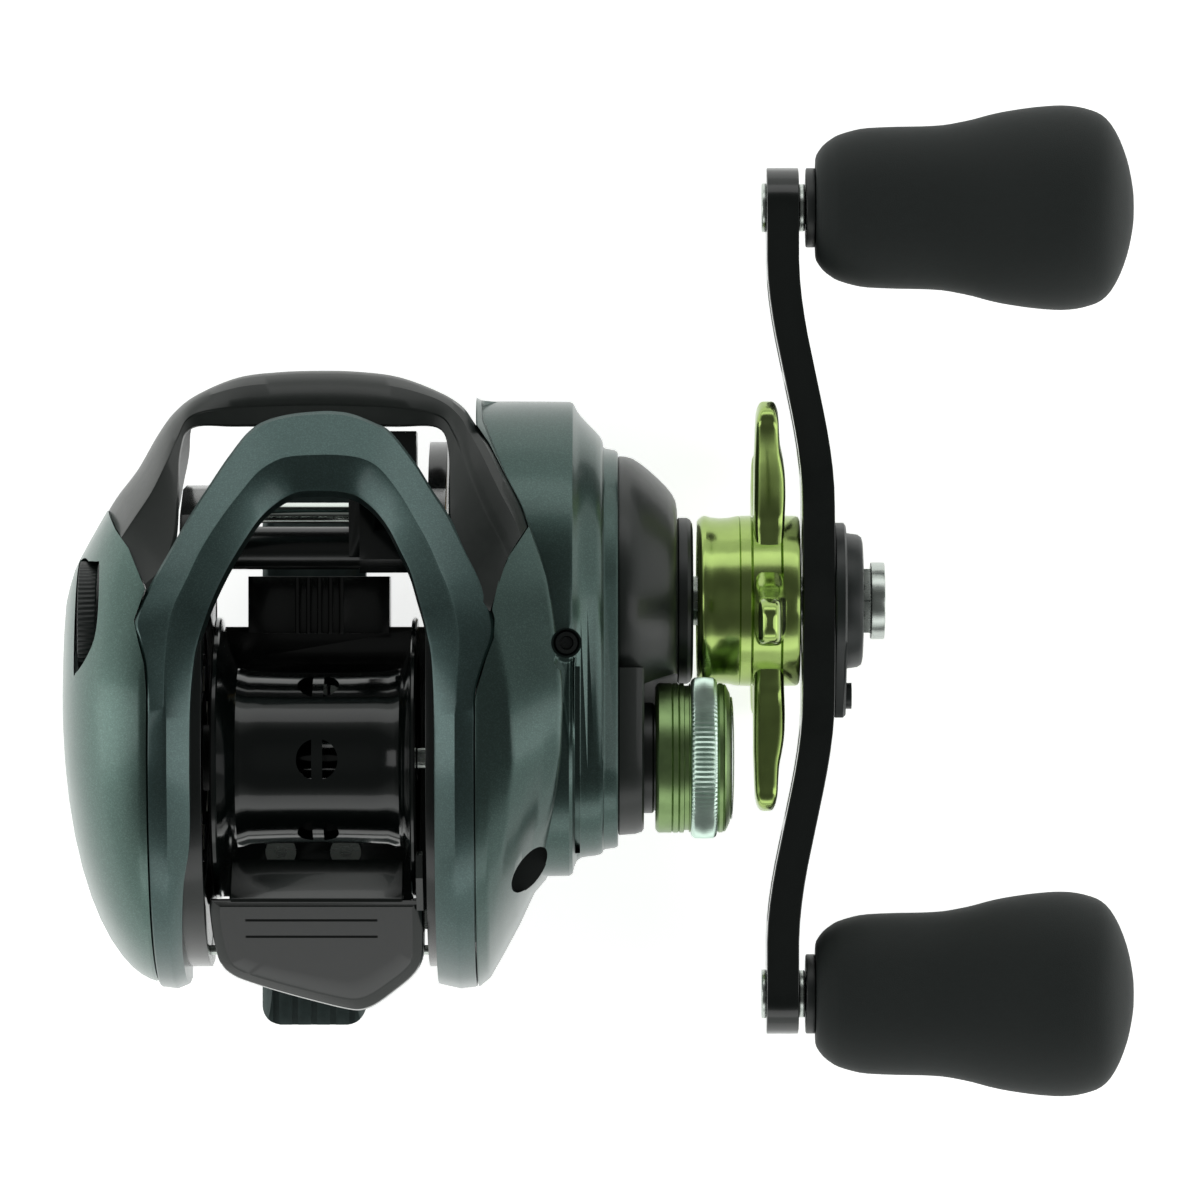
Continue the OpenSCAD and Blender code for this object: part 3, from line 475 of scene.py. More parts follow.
def arch():
    """The A-shaped top cover: a band of two facets meeting at a ridge, over the spool."""
    outer = [(-19.5, -49), (-19.5, -40), (-19.5, -31), (-19.5, -24), (-19.5, -16), (-19.5, -8), (-19.5, 0),
             (-19.5, 7), (-19.9, 11.5), (-20.7, 14.5), (-21.2, 16.7), (-19.9, 20.3), (-17.5, 24.8),
             (-15, 29.4), (-12.7, 33.2), (-10.4, 36.8), (-8.1, 39.8), (-5.6, 41.3), (-1.5, 42.1),
             (3.3, 42.1), (7, 40.8), (9, 39.6), (11.9, 35.9), (13.9, 32.7), (15.9, 29.6), (18, 25.4),
             (20.1, 21), (21.3, 16.9), (21.2, 14.6), (20.3, 12.2), (19.2, 8.5), (18.95, 4), (18.95, -4),
             (18.95, -12), (18.95, -20), (18.95, -28), (18.95, -36), (18.95, -44), (18.95, -49.5)]
    ridge = [(-17.6, -49), (-17.6, -40), (-17.6, -31), (-17.6, -24), (-17.6, -16), (-17.6, -8), (-17.6, 0),
             (-17.6, 7), (-17.5, 12), (-17.2, 15.5), (-16.6, 18.3), (-15, 21.8), (-13.3, 25.4),
             (-10.9, 29.2), (-8.8, 32), (-6.9, 34.3), (-5, 35.6), (-3.2, 36.2), (-0.4, 36.4),
             (2.6, 36.4), (5.4, 36), (7.6, 34.8), (9.9, 32), (11.8, 28.9), (13.6, 25.7), (14.8, 23),
             (15.9, 20.5), (16.8, 17.6), (17.2, 15.1), (17.2, 12.5), (17, 8.5), (17, 4), (17, -4),
             (17, -12), (17, -20), (17, -28), (17, -36), (17, -44), (17, -49.5)]
    inner = [(-16.1, -49), (-16.1, -40), (-16.1, -31), (-16.1, -24), (-15.6, -16), (-14.7, -10), (-14.6, 0),
             (-14.5, 7), (-14, 12.5), (-13.3, 15.4), (-12.8, 16.9), (-11.9, 19.5), (-10.4, 22.9),
             (-8.4, 26.6), (-6.5, 29.6), (-4.6, 31.4), (-3, 32.4), (-1.7, 32.8), (0, 32.9),
             (2.6, 32.8), (4.5, 32.4), (5.8, 31.6), (7.3, 30.2), (8.7, 28.2), (10.1, 25.4), (11.3, 22.8),
             (12.2, 19.7), (12.9, 17.2), (13.3, 15.4), (13.8, 13), (14.1, 9), (14.2, 4), (14.2, -4),
             (14.2, -12), (14.2, -20), (14.2, -28), (14.2, -36), (14.2, -44), (14.2, -49.5)]
    # Each row: line 0, 1 or 2, how far it slides towards a neighbouring line, and its drop
    rows = [(0, 0.0, 3.0), (0, 0.0, 1.05), (0, 0.09, 0.72), (1, -0.1, 0.12), (1, 0.0, 0.0), (1, 0.1, 0.16),
            (2, -0.13, 1.75), (2, -0.03, 2.1), (2, 0.0, 3.1), (2, 0.0, 3.6), (1, 0.0, 3.0)]
    lines = [spline(line, 8) for line in (outer, ridge, inner)]
    rings = []
    for i in range(len(lines[0])):
        ring = []
        for which, slide, drop in rows:
            p = lines[which][i]
            towards = lines[1][i] if which != 1 else lines[2][i] if slide > 0 else lines[0][i]
            x = mix(p[0], towards[0], abs(slide))
            v = mix(p[1], towards[1], abs(slide))
            deep = 1.0 if drop > FACET_DROP else table(v, ARCH_INSIDE if which == 2 else ARCH_OUTSIDE)
            ring.append((x, *on_top(v, drop * deep)))
        rings.append(ring)
    obj = loft("top_cover_shell", rings, ARCH)
    smooth(obj, 21)
    return show(obj, "top_cover")


PLATE_MID_Z = 27
PLATE_HALF = 24
PALM_MID_Y = 8
PALM_RIM_X = -19.62
PALM_WALL = 1.7
PALM_SCREW = (17.5, 12.5)
DIAL_AXIS = (16.4, 36)
# (y, z) outline of the palm side against the frame
PALM_SIDE = [(8, 51.1), (17, 49.3), (25, 46.7), (30, 44.3), (34, 41.6), (37, 38.2), (38.8, 33.6), (39, 29),
             (38, 24), (35, 17.5), (30, 11.5), (24, 7.6), (16, 4.9), (6, 4), (-4, 4.3), (-13, 6),
             (-20, 8.8), (-24.6, 12.3), (-26.6, 16.5), (-27.4, 22), (-26.6, 29), (-24.2, 35.6),
             (-20.6, 41.2), (-15.4, 45.8), (-9, 49), (-1, 50.8)]
# (x, share of the outline's reach forwards)
PALM_FRONT = [(-30.95, 0.02), (-30.85, 0.25), (-30.5, 0.37), (-29.8, 0.455), (-29.3, 0.495), (-27.6, 0.594),
              (-25.5, 0.71), (-24.2, 0.768), (-21.8, 0.858), (-19.5, 1.0)]


def palm_ring(x, inset=0.0):
    """The palm dome's outline in Y and Z at x, from crown to crown."""
    t = min(max((-19.5 - x) / 11.45, 0.0), 1.0)
    rear = max(1 - t ** 1.8, 0.0) ** (1 / 2.4)
    front = table(x, PALM_FRONT)
    ring = []
    for y, z in spline(PALM_SIDE, 4, closed=True):
        s = front if y > PALM_MID_Y else rear
        k = 1 - inset / PLATE_HALF
        rise = mix(rear, math.sqrt(rear), 0.35)
        ring.append((x, PALM_MID_Y + (y - PALM_MID_Y) * s * k, PLATE_MID_Z + (z - PLATE_MID_Z) * rise * k))
    return ring


def bowl(name, outside, inside, material):
    """A shell closed between its outer rings and its inner rings; both lists start at the rim."""
    count = len(outside[0])
    rings = outside[::-1] + inside
    verts = [p for ring in rings for p in ring]
    faces = [tuple(range(count)), tuple(range(len(verts) - count, len(verts)))]
    for i in range(len(rings) - 1):
        for k in range(count):
            a, b = i * count + k, i * count + (k + 1) % count
            faces.append((a, b, b + count, a + count))
    return recalc(make(name, verts, faces, material))


# Plan of the palm side where it meets the cover and the hood, and of the slot for the brake dial
PALM_PLAN = [(-19.62, -30), (-40, -30), (-40, 29.85), (-25.3, 29.85), (-24, 27.55), (-22.2, 25.25),
             (-20.02, 20.4), (-21.32, 16.7), (-20.82, 14.5), (-20.0, 11.5), (-19.64, 7), (-19.62, 6)]
DIAL_SLOT = [(-28.35, 23.7), (-26.3, 23.7), (-25.85, 23.2), (-25.8, 18), (-26.2, 14.5), (-27.4, 11.9),
             (-28.6, 10.4), (-28.9, 11.2), (-28.9, 23.2)]


def palm_plate():
    """The palm side: one smooth dome, hollow, with the dial's slot and the screw's counterbore."""
    stations = [-19.62, -19.75, -20.1, -20.8, -21.8, -22.9, -24.1, -25.4, -26.6, -27.7, -28.7, -29.5, -30.1,
                -30.5,
                -30.74, -30.88, -30.94]
    outside = []
    for x in stations:
        ring = palm_ring(x)
        lip = table(x, [(-20.1, 0.0), (-19.75, 0.12), (-19.62, 0.35)])
        outside.append([(p[0], PALM_MID_Y + (p[1] - PALM_MID_Y) * (1 - lip / 30),
                         PLATE_MID_Z + (p[2] - PLATE_MID_Z) * (1 - lip / PLATE_HALF)) for p in ring])
    inside = [[(p[0] if i == 0 else p[0] + PALM_WALL, p[1], p[2]) for p in palm_ring(x, PALM_WALL)]
              for i, x in enumerate(stations[:1] + stations[4:])]
    obj = bowl("palm_dome", outside, inside, PLATE)
    combine(obj, rod("boss", PALM_SCREW, 3.6, -28, PALM_RIM_X, PLATE, 48), "UNION")
    keep_inside(obj, prism("plan", PALM_PLAN, "z", -5, 70, PLATE))
    cut(obj, prism("slot", spline(DIAL_SLOT, 3, closed=True), "z", 33, 60, DARK),
        rod("bore", PALM_SCREW, 1.56, -40, -10, DARK, 48),
        rod("counterbore", PALM_SCREW, 2.5, -40, -26.55, DARK, 48),
        rod("dial_room", DIAL_AXIS, 7.75, -28.8, -25.9, DARK, 64),
        rod("case_room", (1, 27), 17.25, -21.5, -19))
    smooth(obj, 28)
    return show(obj, "palm_side_plate")


def hood():
    """The front hood: a band of two facets from the left wing over the bar to the right wing."""
    stations = [  # outer x, y, z; crease x, y, z; inner x, y, z; skirt: how far in and how low
        ((-25.4, 29.95, 31), (-23.15, 26.55, 43.1), (-19.8, 20.3, 48.1), (4.5, 12)),
        ((-24.2, 31.8, 31.3), (-21.6, 28.9, 42.9), (-17.7, 22.4, 47), (5, 11)),
        ((-21.8, 34.9, 32), (-19.6, 32, 42.2), (-16.6, 26, 45.6), (5, 10)),
        ((-19.4, 39, 32.6), (-17.9, 35.6, 41), (-16.35, 31, 43.6), (4, 12)),
        ((-17.3, 41.8, 33), (-16.6, 38.7, 39.2), (-16.3, 36.8, 40.4), (3, 18)),
        ((-14.5, 43.9, 33.4), (-15, 41.2, 37.9), (-15, 39.75, 38.2), (1, 29)),
        ((-9.7, 45.9, 33.4), (-9.9, 42.2, 37.4), (-10, 39.9, 38), (0.4, 28.95)),
        ((-4.8, 46.55, 33.2), (-4.9, 42.5, 37.2), (-5, 39.9, 38), (0.4, 28.95)),
        ((0, 46.72, 33.2), (0, 42.6, 37.2), (0, 39.9, 38), (0.4, 28.95)),
        ((4.8, 46.6, 33.2), (4.9, 42.5, 37.2), (5, 39.9, 38), (0.4, 28.95)),
        ((9.7, 45.95, 33.4), (9.7, 42.2, 37.4), (9.6, 39.9, 38), (0.4, 28.95)),
        ((14.5, 44.15, 34.6), (14.6, 41.2, 38), (14.4, 39.75, 38.2), (0.6, 29)),
        ((17.3, 42.4, 36.4), (16.4, 39, 39.6), (15.75, 37, 40.3), (0.5, 31)),
        ((18.8, 40.4, 37.8), (17.4, 36.6, 41.3), (15.85, 32, 43.2), (0.4, 33)),
        ((20.5, 37.9, 39.2), (18.7, 33.3, 43.3), (15.9, 28, 45), (0.3, 35)),
        ((22.4, 34.2, 40.8), (20.4, 29.4, 45), (16.6, 23.6, 46.8), (0.3, 36)),
        ((24.4, 30.4, 42), (22.2, 26, 46.2), (18.6, 19, 48.4), (0.2, 37)),
        ((25.3, 27.9, 42.8), (22.95, 24.3, 46.9), (20.9, 17.8, 49.3), (0.2, 38)),
    ]
    lines = [spline([s[k] for s in stations], 6) for k in range(3)]
    skirts = spline([s[3] for s in stations], 6)
    rings = []
    for a, b, c, (pull, low) in zip(*lines, skirts):
        def between(p, q, t, dz=0.0):
            return (mix(p[0], q[0], t), mix(p[1], q[1], t), mix(p[2], q[2], t) + dz)
        reach = math.dist(a[:2], c[:2])
        in_dir = ((c[0] - a[0]) / reach, (c[1] - a[1]) / reach)
        middle = (a[0] + in_dir[0] * pull * 0.3, a[1] + in_dir[1] * pull * 0.3, mix(a[2], low, 0.5))
        foot = (a[0] + in_dir[0] * pull, a[1] + in_dir[1] * pull, low)
        under = (a[0] + in_dir[0] * (pull + 1.6), a[1] + in_dir[1] * (pull + 1.6), low)
        rings.append([under, foot, middle, (a[0], a[1], a[2] - 0.5), (a[0], a[1], a[2] + 0.3),
                      between(a, b, 0.1, 1.3), between(a, b, 0.35, 1.6), between(a, b, 0.7, 0.9),
                      between(a, b, 0.95, 0.22), between(a, b, 1.0, 0.0), between(b, c, 0.06, -0.1),
                      between(b, c, 0.9, -0.25), between(b, c, 1.0, -0.6), (c[0], c[1], c[2] - 2.6),
                      between(b, c, 0.4, -3.2), (mix(a[0], b[0], 0.45), mix(a[1], b[1], 0.45),
                                                 max(low, b[2] - 7))])
    obj = loft("front_hood_shell", rings, HOOD)
    smooth(obj, 26)
    return show(obj, "front_hood")


def hull_ring(x, r_drive, r_spool, up=1.0, down=1.0, steps=144):
    """Outline round the drive axis and the spool's axis at x, its height scaled about the drive axis."""
    ring = []
    for i in range(steps):
        a = 2 * math.pi * i / steps
        n = (math.cos(a), math.sin(a))
        reach_d = DRIVE_Y * n[0] + DRIVE_Z * n[1] + r_drive
        reach_s = SPOOL_Z * n[1] + r_spool
        c, r = (DRIVE_AXIS, r_drive) if reach_d > reach_s else (SPOOL_AXIS, r_spool)
        rise = c[1] + n[1] * r - DRIVE_Z
        ring.append((x, c[0] + n[0] * r, DRIVE_Z + rise * (up if rise > 0 else down)))
    return ring


GEAR_MID_Y = 17
GEAR_LEFT = 19.05
GEAR_SCREWS = [(-8.6, 25), (38.6, 16.5), (37, 29)]
PIT = (29.9, 14.0)
OVAL = (25.45, -13.2)
# (y, z) outline of the gear side against the frame
GEAR_SIDE = [(17, 49.7), (23, 47.9), (29, 45.6), (35, 43), (40, 40.4), (42.6, 38.4), (43.4, 35), (43.5, 29),
             (43.3, 22), (41.6, 16), (38, 9.8), (33, 5.2), (26, 2), (18, 1), (9, 2.4), (0, 4.8), (-9, 7.8),
             (-18, 10.4), (-24.6, 12.9), (-27.4, 16.4), (-28.2, 22), (-26.6, 31.5), (-21.8, 40.5),
             (-14, 47.2), (-4, 50.9), (6, 51.5)]
# PANEL_EDGE is (y, x of the crescent seam), PANEL_CREASE is (y, u of the crease),
# and PANEL_REAR is (u, share of the outline's reach backwards)
PANEL_EDGE = [(-30, 27.0), (-9.9, 27.5), (-5.3, 28.5), (0.5, 29.3), (6.4, 29.5), (9.8, 29.4), (15.6, 28.6),
              (18, 28.3), (21.5, 27.7), (24.5, 26.8), (27.9, 25.6), (30.5, 24.6), (34.2, 22.6), (38, 20.8),
              (40.5, 19.8), (44, 19.5)]
PANEL_REAR = [(0, 1.0), (0.18, 0.973), (0.4, 0.9), (0.61, 0.825), (0.8, 0.745), (1.0, 0.7)]
PANEL_CREASE = [(-20, 0.25), (-10, 0.4), (0, 0.45), (8, 0.38), (18, 0.2), (43, 0.2)]


def panel_ring(u, inset=0.0):
    """The gear side's upper panel at u, from the top cover (0) to the crescent seam (1)."""
    ring = []
    k = 1 - inset / PLATE_HALF
    for y, z in spline(GEAR_SIDE, 5, closed=True):
        reach = table(u, PANEL_REAR) if y < GEAR_MID_Y else 1 - 0.01 * u
        new_y = GEAR_MID_Y + (y - GEAR_MID_Y) * reach * k
        crease = table(new_y, PANEL_CREASE)
        fall = 0.01 * u / crease if u < crease else 0.01 + 0.13 * (u - crease) / (1 - crease)
        edge = table(new_y, PANEL_EDGE)
        if z < PLATE_MID_Z:
            fall = 0.04 * u
            edge = mix(28.0, edge, max(0.0, (z - 12) / 15))
        new_z = PLATE_MID_Z + (z - PLATE_MID_Z) * (1 - fall) * k
        ring.append((GEAR_LEFT + u * (edge - GEAR_LEFT), new_y, new_z))
    return ring


def gear_plate():
    """The gear side: a creased upper panel up to the crescent seam, over a drum and its nose."""
    rings = [panel_ring(0.0, 0.4), panel_ring(0.012, 0.06)] + [panel_ring(0.03 * k) for k in range(1, 33)]
    rings += [panel_ring(0.985, 0.1), panel_ring(1.0, 0.4), panel_ring(1.001, 2.5)]
    obj = loft("gear_side_shell", rings, GEARSIDE)
    # Each row: x, radius round the drive axis, radius round the spool's axis,
    # and the shares of height kept above and below
    drum = [(19.05, 24.0, 14.0, 0.93, 0.84), (19.3, 24.35, 14.4, 0.93, 0.84), (24, 24.35, 14.4, 0.93, 0.84),
            (30.2, 24.3, 14.3, 0.93, 0.84), (30.6, 24.15, 14.0, 0.93, 0.845),
            (30.8, 23.8, 13.2, 0.935, 0.85), (31.1, 23.2, 12.5, 0.94, 0.86),
            (31.6, 22.5, 12.1, 0.95, 0.875), (32.4, 21.65, 11.95, 0.96, 0.9),
            (33.3, 20.75, 11.85, 0.975, 0.93), (33.9, 20.05, 11.7, 0.985, 0.95),
            (34.2, 19.5, 11.5, 0.99, 0.96), (34.28, 19.0, 11.3, 1, 0.98), (34.34, 18.75, 11.15, 1, 1),
            (34.6, 18.6, 11.05, 1, 1), (35.7, 18.4, 10.9, 1, 1), (36.02, 18.2, 10.75, 1, 1),
            (36.1, 17.9, 10.5, 1, 1)]
    combine(obj, loft("drum", [hull_ring(*row) for row in drum], GEARSIDE), "UNION")
    groove = prism("groove", [(-11.4, 28), (11.2, 28), (11.2, 60), (-11.4, 60)], "x", 30.9, 31.5, DARK)
    cut(groove, loft("under_groove", [hull_ring(x, 22.0, 11.6, 0.94) for x in (30, 33)], DARK))
    wing = [(15, 45), (18.9, 40.45), (20.6, 37.95), (22.5, 34.25), (24.5, 30.45), (25.42, 27.85),
            (23.1, 24.3), (21.85, 21.3), (21.1, 17.9), (18, 17.5)]
    shoulder = [(18, 6.5), (19.1, 6.6), (19.35, 8.4), (20.45, 12.2), (21.35, 14.6), (21.45, 16.9),
                (20.25, 21.05), (18, 25.4)]
    oval = [(OVAL[0] + 1.45 * math.cos(a) * 0.83 + 3.2 * math.sin(a) * 0.55,
             OVAL[1] - 1.45 * math.cos(a) * 0.55 + 3.2 * math.sin(a) * 0.83)
            for a in [2 * math.pi * k / 40 for k in range(40)]]
    in_front = prism("wing_front", [(10, 31), (30, 31), (30, 50), (10, 50)], "z", 30, 70)
    cut(obj, groove, keep_inside(prism("wing", wing, "z", 37.5, 60), in_front),
        prism("wing_rear", wing, "z", 41.2, 60), prism("shoulder", shoulder, "z", 44.5, 60),
        prism("pit", circle(PIT, 1.8), "z", 40.2, 60),
        prism("pit_rear", circle((29.6, 11.9), 1.2), "z", 41.4, 60),
        prism("oval", oval, "z", 34.8, 60))
    cut(obj, rod("train", DRIVE_AXIS, 18.6, 15, 26.9), rod("drag", DRIVE_AXIS, 14, 26.8, 29.2),
        rod("pinion", SPOOL_AXIS, 13.2, 15, 25.6), rod("pinion_end", SPOOL_AXIS, 5.6, 25.5, 29.2),
        rod("yoke", (-9, SPOOL_Z - 3), 14.5, 15, 20.2), rod("clutch", DRIVE_AXIS, 7.55, 29, 40),
        rod("tail", SPOOL_AXIS, 5.05, 29, 31.51), rod("shaft", SPOOL_AXIS, 3.25, 31, 40),
        *[rod(f"bore{i}", spot, 1.03, 15, 33) for i, spot in enumerate(GEAR_SCREWS)],
        *[rod(f"head{i}", spot, 1.95, 30.55, 31.65) for i, spot in enumerate(GEAR_SCREWS)])
    lip = [[(x, *on_top(v, drop)) for x, drop in ((18.6, 1.4), (19.5, 1.4), (19.5, 2.2), (18.6, 2.2))]
           for v in range(-24, 10, 2)]
    combine(obj, loft("seam_lip", lip, GEARSIDE), "UNION")
    smooth(obj, 26)
    show(obj, "gear_side_plate")
    head = turned_up("pit_screw", [(NEAR_AXIS, 40.1), (1.55, 40.1), (1.55, 41.5), (1.3, 41.85),
                                   (0.85, 41.85), (0.7, 41.2), (NEAR_AXIS, 41.2)], PIT, DARK)
    wider = [(mix(OVAL[0], x, 1.04), mix(OVAL[1], y, 1.04)) for x, y in oval]
    floor = prism("oval_floor", wider, "z", 33.6, 35.2)
    for piece in (head, floor):
        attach(piece, "root")


def gear_cover():
    """The black cover outside the gear side: a cone round the clutch and a lobe round the cast control."""
    cone = [(7, 36.12), (17.6, 36.12), (17.66, 36.3), (17.62, 37), (17.35, 37.9), (16.7, 38.9),
            (15.9, 39.9), (14.9, 41), (13.9, 42), (13.0, 42.7), (12.2, 43.1), (11.2, 43.28), (10.4, 43.3),
            (7, 43.3)]
    obj = turned("gear_cover_shell", [(x, r) for r, x in cone], DRIVE_AXIS, COVER, 128)
    cut(obj, rod("pocket", SPOOL_AXIS, 10.2, 39.25, 50, COVER, 128))
    lobe = [(36.12, 17.3, 9.2), (36.25, 17.45, 9.35), (38.2, 17.3, 9.2), (38.95, 16.8, 8.95),
            (39.2, 16.2, 8.6)]
    lobe = loft("lobe", [hull_ring(*row) for row in lobe], COVER)
    keep_inside(lobe, prism("rear_half", [(-20, 0), (11, 0), (11, 60), (-20, 60)], "x", 30, 45, COVER))
    combine(obj, lobe, "UNION")
    stem = [(38.9, NEAR_AXIS), (38.9, 6.7), (40.2, 6.7), (40.4, 6.5), (40.4, 6.38), (44.7, 6.38),
            (44.9, 6.2), (44.9, NEAR_AXIS)]
    combine(obj, turned("stem", stem, SPOOL_AXIS, COVER, 96), "UNION")
    cut(obj, rod("clutch", DRIVE_AXIS, 7.55, 36, 40.02), rod("hub", DRIVE_AXIS, 5.2, 36, 50),
        rod("bearing", SPOOL_AXIS, 4.05, 39.5, 46), rod("shaft", SPOOL_AXIS, 3.2, 36, 46))
    smooth(obj, 30)
    return show(obj, "gear_cover")


def seal_ring():
    """The ring between the gear cover and the star's hub."""
    profile = [(43.35, 5.25), (43.35, 10.0), (43.5, 10.15), (44.5, 10.15), (44.9, 9.9), (45.15, 9.4),
               (45.2, 8.9), (45.2, 5.25)]
    return show(smooth(turned("seal_ring", profile, DRIVE_AXIS, DARK), 30), "roller_clutch_seal")


KNOB_X = 60.2


def knob(side, node):
    """A soft grip, waisted by the collar and swelling outwards, with its bore for the shaft."""
    # Each row: distance from the collar, half-width and half-height
    rows = [(0.0, 5.9, 5.1), (0.12, 6.5, 5.6), (0.9, 7.6, 6.2), (1.9, 8.4, 6.6), (2.8, 8.9, 6.9),
            (4.6, 9.45, 7.1), (6.4, 9.75, 7.2), (10, 9.9, 7.1), (13, 9.95, 7.0), (15.5, 10.1, 7.05),
            (17.3, 10.4, 7.2), (19.2, 10.8, 7.5), (21, 11.3, 7.8), (22.8, 11.7, 8.15), (24.6, 12.0, 8.5),
            (26.4, 12.25, 8.8), (28.2, 12.42, 9.05), (30, 12.5, 9.2), (31.9, 12.35, 9.15),
            (33.7, 11.9, 8.8), (34.9, 11.35, 8.3), (36, 10.3, 7.4), (37.1, 8.4, 5.9), (38, 6.0, 4.2),
            (38.5, 3.9, 2.7), (38.8, 2.0, 1.4), (38.86, 0.6, 0.4)]
    rings = []
    for x, half_y, half_z in spline(rows, 2):
        ring = []
        for i in range(72):
            a = 2 * math.pi * i / 72
            c, s = math.cos(a), math.sin(a)
            ring.append((KNOB_X + x, DRIVE_Y + side * REACH + half_y * math.copysign(abs(c) ** 0.92, c),
                         DRIVE_Z + half_z * math.copysign(abs(s) ** 0.92, s)))
        rings.append(ring)
    obj = loft(node + "_grip", rings, RUBBER)
    axis = (DRIVE_Y + side * REACH, DRIVE_Z)
    cut(obj, rod("bore", axis, 3.52, 58, 92.6, DARK, 48))
    smooth(obj, 40)
    return show(obj, node)


def star():
    """The drag star: a polished waisted hub and five paddle arms."""
    hub = [(54.0, 3.1), (54.0, 8.85), (45.75, 8.85), (45.7, 9.0), (45.7, 9.75), (45.9, 10.0), (46.2, 10.25),
           (46.5, 10.4), (46.8, 10.4), (47.4, 10.2), (48.4, 10.1), (49.5, 10.15), (50.4, 10.35),
           (50.8, 10.4), (50.9, 10.3), (51.0, 10.4), (52.2, 10.42), (52.35, 10.2), (52.5, 10.42),
           (55.8, 10.42), (55.95, 10.15), (56.1, 10.42), (57.7, 10.4), (58.05, 10.25), (58.2, 9.95),
           (58.2, 9.25), (56.6, 9.05), (56.6, 3.1)]
    obj = turned("star_body", hub, DRIVE_AXIS, STAR, 128)
    arm_rows = [  # radius, low x, high x, half-width
        (9.2, 52.5, 56.3, 4.6), (10.6, 52.5, 56.3, 3.9), (12.2, 52.5, 56.35, 3.1), (14.5, 52.5, 56.4, 2.75),
        (17, 52.5, 56.3, 2.65), (19, 52.5, 56.0, 2.65), (20.5, 52.55, 55.7, 2.7), (22.5, 52.6, 55.55, 2.75),
        (24.2, 52.7, 55.45, 2.6), (25.2, 52.95, 55.2, 2.15), (25.75, 53.3, 54.9, 1.5),
                (25.98, 53.8, 54.4, 0.6)]
    for i in range(5):
        turn = math.radians(24 + 72 * i)
        along, across = (math.cos(turn), math.sin(turn)), (-math.sin(turn), math.cos(turn))
        rings = []
        for r, low, high, half in spline(arm_rows, 3):
            ring = []
            for k in range(28):
                a = 2 * math.pi * k / 28
                c, s = (math.copysign(abs(f(a)) ** 0.42, f(a)) for f in (math.cos, math.sin))
                x = (low + high) / 2 + (high - low) / 2 * c
                w = half * s
                ring.append((x, DRIVE_Y + along[0] * r + across[0] * w,
                             DRIVE_Z + along[1] * r + across[1] * w))
            rings.append(ring)
        combine(obj, loft("star_arm", rings, STAR), "UNION")
    smooth(obj, 32)
    return show(obj, "star_drag")


KNURL_TEETH = 98


def cast_control():
    """The cast control: a grooved olive cap, a knurled silver ring and a domed disc."""
    cap = [(46.2, NEAR_AXIS), (46.2, 6.46), (40.6, 6.46), (40.6, 8.6), (40.8, 8.9), (41.0, 9.05),
           (42.5, 9.05), (42.62, 8.9), (42.74, 9.05), (43.3, 9.05), (43.42, 8.9), (43.54, 9.05),
           (44.0, 9.05), (44.1, 8.75), (44.6, 8.75), (44.7, 9.0), (44.8, 9.0), (44.84, 8.38), (48.06, 8.38),
           (48.08, 8.9), (48.3, 9.05), (48.7, 9.0), (48.8, 8.85), (48.9, 8.95), (49.1, 8.8), (49.35, 8.3),
           (49.58, 7.8), (49.6, 7.6), (49.6, NEAR_AXIS)]
    show(smooth(turned("cast_cap", cap, SPOOL_AXIS, OLIVE, 128), 24), "cast_control_cap")
    rings = []
    # Each row: x, radius and depth of the knurl
    for x, r, deep in [(44.86, 8.42, 0), (44.86, 9.25, 0), (45.0, 9.5, 0.12), (45.35, 9.72, 0.3),
                       (46.45, 9.76, 0.32), (47.55, 9.72, 0.3), (47.92, 9.5, 0.12), (48.04, 9.25, 0),
                       (48.04, 8.42, 0)]:
        ring = []
        for i in range(4 * KNURL_TEETH):
            a = 2 * math.pi * i / (4 * KNURL_TEETH)
            dip = deep * (0.5 - 0.5 * math.cos(i * math.pi / 2))
            tooth = r - dip - (0.3 - deep) * (0.18 if r > 9 else 0)
            ring.append((x, tooth * math.cos(a), SPOOL_Z + tooth * math.sin(a)))
        rings.append(ring)
    rings.append(rings[0])
    show(smooth(loft("cast_ring", rings, KNURL, cap=False), 50), "cast_control_ring")
    disc = [(49.62, NEAR_AXIS), (49.62, 7.3), (49.75, 7.45), (49.88, 7.3), (50.0, 6.2), (50.08, 4.2),
            (50.15, NEAR_AXIS)]
    show(smooth(turned("cast_disc", disc, SPOOL_AXIS, STEEL, 96), 40), "cast_control_disc")


HOLE_R = 2.5
HALF_WEB = 0.65


